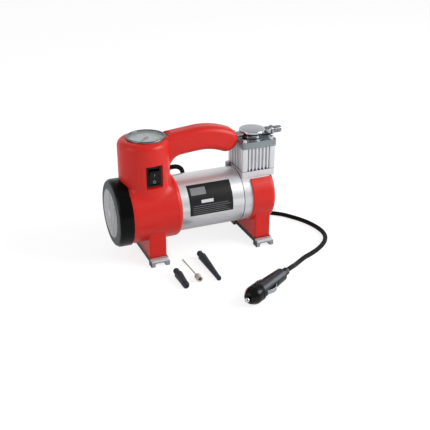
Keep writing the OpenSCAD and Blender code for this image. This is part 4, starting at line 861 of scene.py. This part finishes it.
class COMPRESSOR_OT_plug(CompressorOperator, bpy.types.Operator):
    """Lighter plug: collar, tapered grip with a flat and ribs, and a domed nose"""
    bl_idname = "compressor.plug"
    bl_label = "Lighter plug"

    def execute(self, context):
        collar, collar_pitch = 2.2, 2.6
        grip = [(0, 0), (2.8, 0), (2.8, 1), (3.5, 1), (3.9, 1.5)]
        for i in range(3):
            z = collar + collar_pitch * i
            grip += [(4, z), (4, z + 1.3), (3.4, z + 1.5), (3.4, z + 2.3)]
        start, start_r, end, end_r = 10, 6.7, 51, 8.3
        grip += [(4, start), (5.9, start), (start_r, 10.8)]
        ribs, first_rib, rib_pitch = 17, 26, 1.4
        for i in range(ribs):
            z = first_rib + rib_pitch * i
            r = start_r + (z - start) * (end_r - start_r) / (end - start)
            grip += [(r, z), (r, z + 0.55), (r - 0.28, z + 0.75), (r - 0.28, z + 1.2)]
        grip += [(end_r, 50.2), (end_r, end), (0, end)]
        body = turned_shape(grip, 64)
        bmesh.ops.remove_doubles(body, verts=body.verts, dist=0.0005)
        flat = Vector((-math.cos(PLUG_FLAT), math.sin(PLUG_FLAT), 0))
        flat_at = flat * 6.2
        bmesh.ops.bisect_plane(
            body, geom=body.verts[:] + body.edges[:] + body.faces[:], plane_co=flat_at, plane_no=flat,
            clear_outer=True)
        bmesh.ops.holes_fill(body, edges=[e for e in body.edges if e.is_boundary])
        assemble("plug_grip", [(body, plug_place())], "grip_black", ["plug_body"], 0.5)
        profile = [
            (0, 51.2), (8.9, 51.2), (9.2, 51.6), (9.2, 54.2), (8.7, 54.6), (8.7, 55.4), (9.2, 55.8),
            (9.2, 60.4), (8.9, 61.7), (8.1, 63.6), (7, 65.4), (6.3, 66.8), (5.7, 67.6), (4.9, 68),
            (3, 68), (3, 64.2), (4, 64), (4, 58.5), (0, 58.5)]
        nose = turned_shape(profile, 64)
        assemble("plug_nose", [(nose, plug_place())], "black_gloss", ["plug_cap"], 0.35)
        return {"FINISHED"}


NOZZLE_R = 4.5
THREAD_L = 8.0
NEEDLE_R = 0.75
NEEDLE_L = 42.0
NEEDLE_AT = (-33, -72.5)


def lying(x, y, base_r, tip_r, length, ahead):
    """Matrix of a taper that lies on the floor on its side, its tip towards ahead along Y."""
    lean = math.atan((base_r - tip_r) / length)
    return placed((x, y, base_r * math.cos(lean) + 0.02), (0, ahead * math.cos(lean), -math.sin(lean)))


def nozzle(place, tip_r, length, pitch, rings):
    """Shapes and places of a faceted taper with a threaded end, rings near its tip and a hollow tip."""
    taper = prism(10, NOZZLE_R, length, 0, tip_r)
    tip = [f for f in taper.faces if len(f.verts) > 4 and f.calc_center_median().z > length / 2]
    bmesh.ops.inset_region(taper, faces=tip, thickness=tip_r * 0.45, depth=0)
    hole = bmesh.ops.extrude_discrete_faces(taper, faces=tip)["faces"]
    bmesh.ops.translate(taper, vec=(0, 0, -0.3 * length), verts=list({v for f in hole for v in f.verts}))
    thread = [(0, -THREAD_L), (2.8, -THREAD_L)]
    thread += thread_profile(3.2, 0.4 - THREAD_L, -1.4, pitch, 0.4)
    thread += [(2.6, -1.2), (2.6, 0.2), (0, 0.2)]
    parts = [(bevel_corners(taper, 0.25, 2, 0.4), place), (turned_shape(thread, 40), place)]
    lift = Matrix.Translation((0, 0, 0.2))
    for i in range(rings):
        z = length - 2.2 - 2.4 * i
        r = tip_r + (NOZZLE_R - tip_r) * (length - z) / length
        parts.append((prism(10, r + 0.22, 1.1, z), lift @ place))
    return parts


class COMPRESSOR_OT_adapters(CompressorOperator, bpy.types.Operator):
    """Two loose nozzles and the ball needle in front of the pump"""
    bl_idname = "compressor.adapters"
    bl_label = "Loose adapters"

    def execute(self, context):
        pitch = sizes().thread_pitch / MM
        for node, x, y, tip_r, rings in (
                ("nozzle_short", -50, -65, 3.2, 2), ("nozzle_long", -14, -39, 2.3, 1)):
            low, high = box(node)
            length = round(high.y - low.y) - THREAD_L - 1.0
            parts = nozzle(lying(x, y, NOZZLE_R, tip_r, length, -1), tip_r, length, pitch, rings)
            assemble(node + "_faceted", parts, "adapter_plastic", [node], 0.3)
        low, high = box("ball_needle")
        hub_r = (high.x - low.x) / 2
        r = NEEDLE_R
        hub = [(0, -1.6), (hub_r - 1.3, -1.6), (hub_r - 1.3, -8.6), (hub_r - 0.9, -9)]
        hub += [(hub_r - 0.4, -9), (hub_r, -8.6)]
        hub += [(hub_r, -6.4), (hub_r - 0.35, -6.1), (hub_r - 0.35, -5.6), (hub_r, -5.3)]
        hub += [(hub_r, -1.0), (hub_r - 0.5, -0.4), (1.3, 0.0), (r + 0.03, 0.9), (r, 1.6)]
        hub += [(r, NEEDLE_L - 1.4), (r - 0.2, NEEDLE_L - 0.4), (0, NEEDLE_L)]
        place = lying(*NEEDLE_AT, hub_r, r, NEEDLE_L, 1)
        needle = turned_shape(hub, 32)
        assemble("ball_needle_turned", [(needle, place)], "nickel", ["ball_needle"], 0.5)
        return {"FINISHED"}


# Pump detail


def motor_patch(bm, x0, x1, low, high, r, slot):
    """Thin curved sheet on the motor's front between two angles above level."""
    part = bmesh.new()
    ends = [part.verts.new((x, -r, 0)) for x in (x0, x1)]
    edge = part.edges.new(ends)
    bmesh.ops.rotate(part, cent=(0, 0, 0), matrix=Matrix.Rotation(-low, 3, "X"), verts=part.verts)
    steps = max(2, round(abs(high - low) / math.radians(2.5)))
    bmesh.ops.spin(part, geom=ends + [edge], cent=(0, 0, 0), axis=(-1, 0, 0), angle=high - low, steps=steps)
    bmesh.ops.translate(part, vec=(0, 0, AXIS_Z), verts=part.verts)
    bmesh.ops.recalc_face_normals(part, faces=part.faces)
    if part.faces[:][0].normal.y > 0:
        bmesh.ops.reverse_faces(part, faces=part.faces)
    pour(bm, part, slot)


class COMPRESSOR_OT_motor_plate(CompressorOperator, bpy.types.Operator):
    """Plain plate on the motor with a grey block, a pale field and ruled lines"""
    bl_idname = "compressor.motor_plate"
    bl_label = "Motor plate"

    def execute(self, context):
        s = sizes()
        x0, x1 = s.plate_x0 / MM, s.plate_x1 / MM
        low, high = s.plate_low, s.plate_high
        bm = bmesh.new()
        plate_r, print_r = MOTOR_R + 0.1, MOTOR_R + 0.16
        motor_patch(bm, x0, x1, low, high, plate_r, 0)
        step = math.radians(4.2)
        motor_patch(bm, x0 + 3, x0 + 19.6, high - 5.5 * step, high - 1.8 * step, print_r, 2)
        motor_patch(bm, x0 + 13, x0 + 26.5, low + 5.9 * step, low + 7.4 * step, print_r, 1)
        line = 0.4 / MOTOR_R
        for i in range(5):
            a = low + (0.9 + 0.95 * i) * step
            motor_patch(bm, x0 + 3.2, x1 - 3.2 - 2.5 * (i % 3), a, a + line, print_r, 2)
        make_piece("motor_plate", bm, PUMP, ["plate_black", "print_white", "print_grey"])
        return {"FINISHED"}


def number_mesh(text, size):
    """Flat mesh of a short number, centred on its place."""
    curve = bpy.data.curves.new("number", "FONT")
    curve.body = text
    curve.size = size
    curve.align_x = "CENTER"
    curve.align_y = "CENTER"
    obj = bpy.data.objects.new("number", curve)
    bpy.context.scene.collection.objects.link(obj)
    graph = bpy.context.evaluated_depsgraph_get()
    mesh = bpy.data.meshes.new_from_object(obj.evaluated_get(graph))
    bpy.data.objects.remove(obj)
    bpy.data.curves.remove(curve)
    return mesh


DIAL_START = math.radians(135)
DIAL_SWEEP = math.radians(-270)
NUMBER_R = 10.4
TICK_R = 15.6
ARC_R = (15.7, 16.0)


class COMPRESSOR_OT_gauge_print(CompressorOperator, bpy.types.Operator):
    """Scale, numbers and rim line printed on the gauge's dial"""
    bl_idname = "compressor.gauge_print"
    bl_label = "Gauge print"

    def execute(self, context):
        centre = Vector((GAUGE_X, 0, box("gauge_dial")[1].z + 0.08))
        steps = sizes().dial_steps
        bm = bmesh.new()
        fine = steps * 10
        for i in range(fine + 1):
            a = DIAL_START + DIAL_SWEEP * i / fine
            half_l, half_w = (1.3, 0.3) if i % 10 == 0 else (0.75, 0.12)
            tick = bmesh.new()
            bmesh.ops.create_grid(tick, x_segments=1, y_segments=1, size=1)
            bmesh.ops.scale(tick, vec=(half_l, half_w, 1), verts=tick.verts)
            bmesh.ops.translate(tick, vec=(TICK_R - half_l, 0, 0), verts=tick.verts)
            join(bm, tick, Matrix.Translation(centre) @ Matrix.Rotation(a, 4, "Z"))
        for i in range(steps + 1):
            a = DIAL_START + DIAL_SWEEP * i / steps
            mesh = number_mesh(str(2 * i), 3.6)
            spot = Vector((math.cos(a), math.sin(a), 0)) * NUMBER_R
            mesh.transform(Matrix.Translation(centre + spot) @ Matrix.Rotation(math.radians(-90), 4, "Z"))
            bm.from_mesh(mesh)
            bpy.data.meshes.remove(mesh)
        arc = bmesh.new()
        ends = [arc.verts.new((r, 0, 0)) for r in ARC_R]
        edge = arc.edges.new(ends)
        bmesh.ops.spin(
            arc, geom=ends + [edge], cent=(0, 0, 0), axis=(0, 0, 1), angle=DIAL_SWEEP, steps=80)
        join(bm, arc, Matrix.Translation(centre) @ Matrix.Rotation(DIAL_START, 4, "Z"))
        for face in bm.faces:
            if face.normal.z < 0:
                face.normal_flip()
        make_piece("gauge_print", bm, PUMP, ["needle_black"])
        return {"FINISHED"}


ROCKER_TILT = math.radians(8)
ROCKER_HALF_H = 7.7
ROCKER_MIDDLE = 3.2


class COMPRESSOR_OT_switch_marks(CompressorOperator, bpy.types.Operator):
    """On and off signs on the rocker's two faces"""
    bl_idname = "compressor.switch_marks"
    bl_label = "Switch marks"

    def execute(self, context):
        pivot = next(joint["pos_m"] for joint in frame["joints"] if joint["name"] == "rocker_tilt")
        place = Matrix.Translation(Vector(pivot) / MM) @ Matrix.Rotation(ROCKER_TILT, 4, "X")
        rise = math.atan(1.1 / (ROCKER_HALF_H - 0.9))
        bm = bmesh.new()
        on = bmesh.new()
        bmesh.ops.create_cube(on, size=1)
        bmesh.ops.scale(on, vec=(0.7, 0.12, 3.0), verts=on.verts)
        off = turned_shape([(1.05, -0.06), (1.6, -0.06), (1.6, 0.06), (1.05, 0.06), (1.05, -0.06)], 32)
        upright = Matrix.Rotation(math.radians(90), 3, "X")
        bmesh.ops.rotate(off, cent=(0, 0, 0), matrix=upright, verts=off.verts)
        for mark, side, z in ((on, 1, 2.7), (off, -1, 4.8)):
            depth = ROCKER_MIDDLE + z * math.tan(rise)
            lie = Matrix.Translation((0, -depth, side * z)) @ Matrix.Rotation(side * rise, 4, "X")
            join(bm, mark, place @ lie)
        make_piece("switch_marks", bm, "rocker", ["print_grey"])
        return {"FINISHED"}


class COMPRESSOR_OT_screws(CompressorOperator, bpy.types.Operator):
    """Cross-head screws of the housing and the cover"""
    bl_idname = "compressor.screws"
    bl_label = "Screws"

    def execute(self, context):
        for node, ahead, head_r, head_h, shank_r, shank_l in (
                ("housing_screws", Vector((0, 1, 0)), 3.0, 2.0, 1.5, 9),
                ("cover_screws", Vector((1, 0, 0)), 2.3, 1.6, 1.25, 8)):
            parts = []
            for low, high in islands(node):
                middle = (low + high) / 2
                seat = placed(middle + ahead * ((high - middle).dot(ahead) - head_h), ahead)
                parts.append((cross_head(head_r, head_h), seat))
                parts.append((prism(20, shank_r, shank_l, -shank_l), seat))
            assemble(node + "_cross", parts, "dark_screws", [node], 0.4)
        return {"FINISHED"}


class COMPRESSOR_OT_outlet(CompressorOperator, bpy.types.Operator):
    """Outlet with hexagon, flange and thread"""
    bl_idname = "compressor.outlet"
    bl_label = "Outlet"

    def execute(self, context):
        low, high = box("outlet_fitting")
        whole = 19.6
        place = placed((high.x - whole, 0, (low.z + high.z) / 2), (1, 0, 0))
        hexagon = bevel_corners(prism(6, 4.5, 7.1), 0.35)
        turned = place @ Matrix.Rotation(math.radians(30), 4, "Z")
        flange = [(0, 7.0), (4.6, 7.1), (5.2, 7.7), (5.2, 9.5), (4.6, 10.1), (3.4, 10.1)]
        pitch = sizes().thread_pitch / MM
        flange += thread_profile(3.85, 10.6, whole - 0.6, pitch, 0.4)
        flange += [(3.4, whole), (2.3, whole), (2.0, whole - 0.4), (2.0, 12), (0, 12)]
        parts = [(hexagon, turned), (turned_shape(flange, 48), place)]
        assemble("outlet_threaded", parts, "outlet_steel", ["outlet_fitting"], 0.4)
        return {"FINISHED"}


class COMPRESSOR_OT_trim(CompressorOperator, bpy.types.Operator):
    """Joint line of the motor, its nut and the turned disc on the cap"""
    bl_idname = "compressor.trim"
    bl_label = "Trim"

    def execute(self, context):
        low, high, half = MOTOR_R - 0.4, MOTOR_R + 0.06, 0.35
        profile = [(low, -half), (high, -half), (high, half), (low, half), (low, -half)]
        groove = turned_shape(profile, 96), placed((JOINT_X, 0, AXIS_Z), (1, 0, 0))
        assemble("motor_joint_line", [groove], "shadow_line")
        top = box("head_cap")[1].z
        profile = [(0, 0.14), (12.2, 0.14), (12.6, 0.0), (12.6, -0.3), (0, -0.3)]
        disc = turned_shape(profile, 72), Matrix.Translation((CYLINDER_X, 0, top))
        assemble("cap_disc", [disc], "cap_satin")
        nut = bevel_corners(prism(6, 3.2, 7.0), 0.3), Matrix.Translation((JOINT_X - 0.5, 15.0, 77.5))
        assemble("joint_nut", [nut], "steel", crease=0.4)
        return {"FINISHED"}


class COMPRESSOR_OT_lamp_cover(CompressorOperator, bpy.types.Operator):
    """Domed lens that sits flush on the lamp's front ring"""
    bl_idname = "compressor.lamp_cover"
    bl_label = "Lamp cover"

    def execute(self, context):
        front = box("lamp_bezel")[0].x
        rim_r, seat_r, bulge, lip = 25.2, 23.2, 1.3, 0.25
        radii = (0, 5, 10, 14, 18, 21, 23.5, rim_r)
        dome = [(r, lip + bulge * (1 - (r / rim_r) ** 2)) for r in radii]
        shape = turned_shape(dome + [(rim_r, 0.0), (seat_r, 0.0), (seat_r, -2.0), (0, -2.0)], 96)
        place = placed((front, 0, AXIS_Z), (-1, 0, 0))
        assemble("lamp_cover", [(shape, place)], "lamp_glass", ["lamp_lens"])
        return {"FINISHED"}


class COMPRESSOR_OT_fin_core(CompressorOperator, bpy.types.Operator):
    """Wall between the cylinder's fins, a square sleeve about the bore with rounded corners"""
    bl_idname = "compressor.fin_core"
    bl_label = "Fin core"

    def execute(self, context):
        low = box("base_gasket")[1].z + 1.0
        high = box("valve_plate")[0].z - 0.5
        side = 2 * (box("cylinder_block")[1].y - 2.4)
        bm = sleeve((side, side, high - low), axis=2, corner_r=2.5, segments=4, wall=1.5)
        bmesh.ops.translate(bm, vec=(CYLINDER_X, 0, (low + high) / 2), verts=bm.verts)
        make_piece("fin_core", bm, PUMP, ["aluminium"])
        return {"FINISHED"}


def fillet_section(angle, reach, steps=8):
    """Points of the blend between column and barrel at one angle about the column."""
    turn, lean = math.cos(angle), math.sin(angle)
    right_room = (HOUSING_END_X - COLUMN_X) / turn - COLUMN_R if turn > 0.01 else reach
    left_room = (COLUMN_X - BARREL_FRONT_X) / -turn - COLUMN_R if turn < -0.01 else reach
    r = min(reach, 0.85 * right_room, 0.85 * left_room)
    if r < 0.4:
        return None
    out = COLUMN_R + r
    centre = Vector((COLUMN_X + out * turn, out * lean, 0))
    centre.z = AXIS_Z + math.sqrt((BARREL_R + r) ** 2 - centre.y ** 2)
    to_column = Vector((-turn, -lean, 0))
    to_barrel = Vector((0, -centre.y, AXIS_Z - centre.z)).normalized()
    points = [centre + r * to_column.slerp(to_barrel, i / steps) for i in range(steps + 1)]
    sunk = 0.5
    inside = COLUMN_R - sunk
    corner = Vector((COLUMN_X + inside * turn, inside * lean, 0))
    corner.z = AXIS_Z + math.sqrt(BARREL_R ** 2 - corner.y ** 2) - sunk
    return points + [corner]


class COMPRESSOR_OT_column_fillet(CompressorOperator, bpy.types.Operator):
    """Blend of the column into the barrel, one piece on each half of the housing"""
    bl_idname = "compressor.column_fillet"
    bl_label = "Column fillet"

    def execute(self, context):
        reach = sizes().fillet / MM
        for name, side in (("column_fillet_front", -1), ("column_fillet_back", 1)):
            bm = bmesh.new()
            rings = []
            sections = 90
            for i in range(1, sections):
                points = fillet_section(side * math.pi * i / sections, reach)
                if points:
                    verts = [bm.verts.new(p) for p in points]
                    rings.append([bm.edges.new(pair) for pair in zip(verts, verts[1:] + verts[:1])])
            for one, other in zip(rings, rings[1:]):
                bmesh.ops.bridge_loops(bm, edges=one + other)
            bmesh.ops.holes_fill(bm, edges=[e for e in bm.edges if e.is_boundary])
            assemble(name, [(bm, Matrix())], "red_plastic", crease=1.0)
        return {"FINISHED"}


class COMPRESSOR_OT_node_finishes(CompressorOperator, bpy.types.Operator):
    """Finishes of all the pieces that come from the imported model"""
    bl_idname = "compressor.node_finishes"
    bl_label = "Finishes"

    def execute(self, context):
        done = set()
        for look, names in NODE_FINISHES.items():
            for name in names:
                mesh = frame["nodes"][name].data
                mesh.materials.clear()
                mesh.materials.append(finish(look))
                done.add(name)
        left = sorted(set(frame["nodes"]) - done)
        if left:
            raise RuntimeError(f"these pieces have no finish: {left}")
        return {"FINISHED"}


# Stage


def area_light(name, place, size, power):
    """Square light that points at the object."""
    light = bpy.data.lights.new(name, "AREA")
    light.shape = "RECTANGLE"
    light.size, light.size_y = size, size
    light.energy = power
    obj = bpy.data.objects.new(name, light)
    bpy.context.scene.collection.objects.link(obj)
    obj.location = place
    obj.rotation_euler = (LIGHT_AIM - place).to_track_quat("-Z", "Y").to_euler()


def seen_rays(tree):
    """1 for rays straight from the camera, and 1 for rays by way of a mirror or through glass."""
    path = tree.nodes.new("ShaderNodeLightPath").outputs
    mirrored = tree.nodes.new("ShaderNodeMath")
    mirrored.operation = "MAXIMUM"
    feed(tree, mirrored, {0: path["Is Glossy Ray"], 1: path["Is Transmission Ray"]})
    return path["Is Camera Ray"], mirrored.outputs["Value"]


def mapped_level(tree, value, start, end, low, high):
    """Output that goes from low to high while value goes from start to end."""
    node = tree.nodes.new("ShaderNodeMapRange")
    feed(tree, node, {"Value": value, "From Min": start, "From Max": end, "To Min": low, "To Max": high})
    return node.outputs["Result"]


CAMERA_AIM = Vector((0.01705, 0.0, 0.03014))
LIGHT_AIM = Vector((0.0, 0.0, 0.06))
KEY_AT = Vector((0.9, -0.6, 0.66))
FILL_AT = Vector((-1.0, -0.2, 0.5))
WHITE = (1, 1, 1, 1)


class COMPRESSOR_OT_stage(CompressorOperator, bpy.types.Operator):
    """Pale floor, soft lights, surroundings and the camera"""
    bl_idname = "compressor.stage"
    bl_label = "Stage"

    def execute(self, context):
        scene = context.scene
        scene.view_settings.view_transform = "Standard"
        s = scene.compressor_stage
        self.floor()
        self.world(scene, s.ambient)
        area_light("key_light", KEY_AT, 0.7, s.key)
        area_light("fill_light", FILL_AT, 0.6, s.fill)
        data = bpy.data.cameras.new("camera")
        data.sensor_fit = "HORIZONTAL"
        data.sensor_width = 36.0
        data.lens = s.lens
        data.clip_end = 50
        camera = bpy.data.objects.new("camera", data)
        scene.collection.objects.link(camera)
        flat = math.cos(s.elevation)
        away = Vector((math.sin(s.azimuth) * flat, -math.cos(s.azimuth) * flat, math.sin(s.elevation)))
        camera.location = CAMERA_AIM + away * s.distance
        camera.rotation_euler = (-away).to_track_quat("-Z", "Y").to_euler()
        scene.camera = camera
        return {"FINISHED"}

    def floor(self):
        """Pale floor that looks white and keeps the object's shadow."""
        bm = bmesh.new()
        bmesh.ops.create_grid(bm, x_segments=2, y_segments=2, size=6)
        mesh = bpy.data.meshes.new("floor")
        bm.to_mesh(mesh)
        bm.free()
        material = bpy.data.materials.new("floor_white")
        material.use_nodes = True
        tree = material.node_tree
        shader = tree.nodes["Principled BSDF"]
        feed(tree, shader, {"Roughness": 0.9, "Specular IOR Level": 0.0, "Emission Color": WHITE})
        camera, mirrored = seen_rays(tree)
        for socket, lit, in_mirror, shown in (
                ("Base Color", 0.82, 0.6, 0.3), ("Emission Strength", 0.0, 0.4, 0.8)):
            level = mapped_level(tree, mirrored, 0, 1, lit, in_mirror)
            level = mapped_level(tree, camera, 0, 1, level, shown)
            tree.links.new(level, shader.inputs[socket])
        mesh.materials.append(material)
        floor = bpy.data.objects.new("floor", mesh)
        bpy.context.scene.collection.objects.link(floor)

    def world(self, scene, ambient):
        """White to the camera, and dimmer overhead and towards the camera's side in mirrors."""
        world = bpy.data.worlds.new("surroundings")
        scene.world = world
        world.use_nodes = True
        tree = world.node_tree
        back = tree.nodes["Background"]
        back.inputs["Color"].default_value = WHITE
        place = tree.nodes.new("ShaderNodeTexCoord")
        split = tree.nodes.new("ShaderNodeSeparateXYZ")
        tree.links.new(place.outputs["Generated"], split.inputs["Vector"])
        overhead = mapped_level(tree, split.outputs["Z"], 0.2, 0.9, 1.0, 0.45)
        room = mapped_level(tree, split.outputs["Y"], -0.7, 0.1, 0.35, overhead)
        camera, mirrored = seen_rays(tree)
        level = mapped_level(tree, mirrored, 0, 1, ambient, room)
        level = mapped_level(tree, camera, 0, 1, level, 1.0)
        tree.links.new(level, back.inputs["Strength"])


class COMPRESSOR_PT_panel(bpy.types.Panel):
    """All steps in the 3D view's sidebar"""
    bl_idname = "COMPRESSOR_PT_panel"
    bl_label = "Car air compressor"
    bl_space_type = "VIEW_3D"
    bl_region_type = "UI"
    bl_category = "Compressor"

    def draw(self, context):
        for step in STEPS:
            self.layout.operator(step.bl_idname)
        scene = context.scene
        for group in (scene.compressor_colours, scene.compressor_sizes, scene.compressor_stage):
            for name in group.bl_rna.properties.keys():
                if name not in ("rna_type", "name"):
                    self.layout.prop(group, name)


STEPS = (
    COMPRESSOR_OT_node_finishes,
    COMPRESSOR_OT_plug,
    COMPRESSOR_OT_coil_strap,
    COMPRESSOR_OT_power_cord,
    COMPRESSOR_OT_cord_boot,
    COMPRESSOR_OT_adapters,
    COMPRESSOR_OT_motor_plate,
    COMPRESSOR_OT_gauge_print,
    COMPRESSOR_OT_switch_marks,
    COMPRESSOR_OT_screws,
    COMPRESSOR_OT_outlet,
    COMPRESSOR_OT_trim,
    COMPRESSOR_OT_lamp_cover,
    COMPRESSOR_OT_fin_core,
    COMPRESSOR_OT_column_fillet,
    COMPRESSOR_OT_stage,
)
GROUPS = (CompressorColours, CompressorSizes, CompressorStage)


def register():
    for cls in GROUPS + STEPS + (COMPRESSOR_PT_panel,):
        bpy.utils.register_class(cls)
    bpy.types.Scene.compressor_colours = PointerProperty(type=CompressorColours)
    bpy.types.Scene.compressor_sizes = PointerProperty(type=CompressorSizes)
    bpy.types.Scene.compressor_stage = PointerProperty(type=CompressorStage)


def unregister():
    del bpy.types.Scene.compressor_stage
    del bpy.types.Scene.compressor_sizes
    del bpy.types.Scene.compressor_colours
    for cls in reversed(GROUPS + STEPS + (COMPRESSOR_PT_panel,)):
        bpy.utils.unregister_class(cls)


def main():
    register()
    for step in STEPS:
        group, name = step.bl_idname.split(".")
        getattr(getattr(bpy.ops, group), name)()


if __name__ == "__main__":
    main()
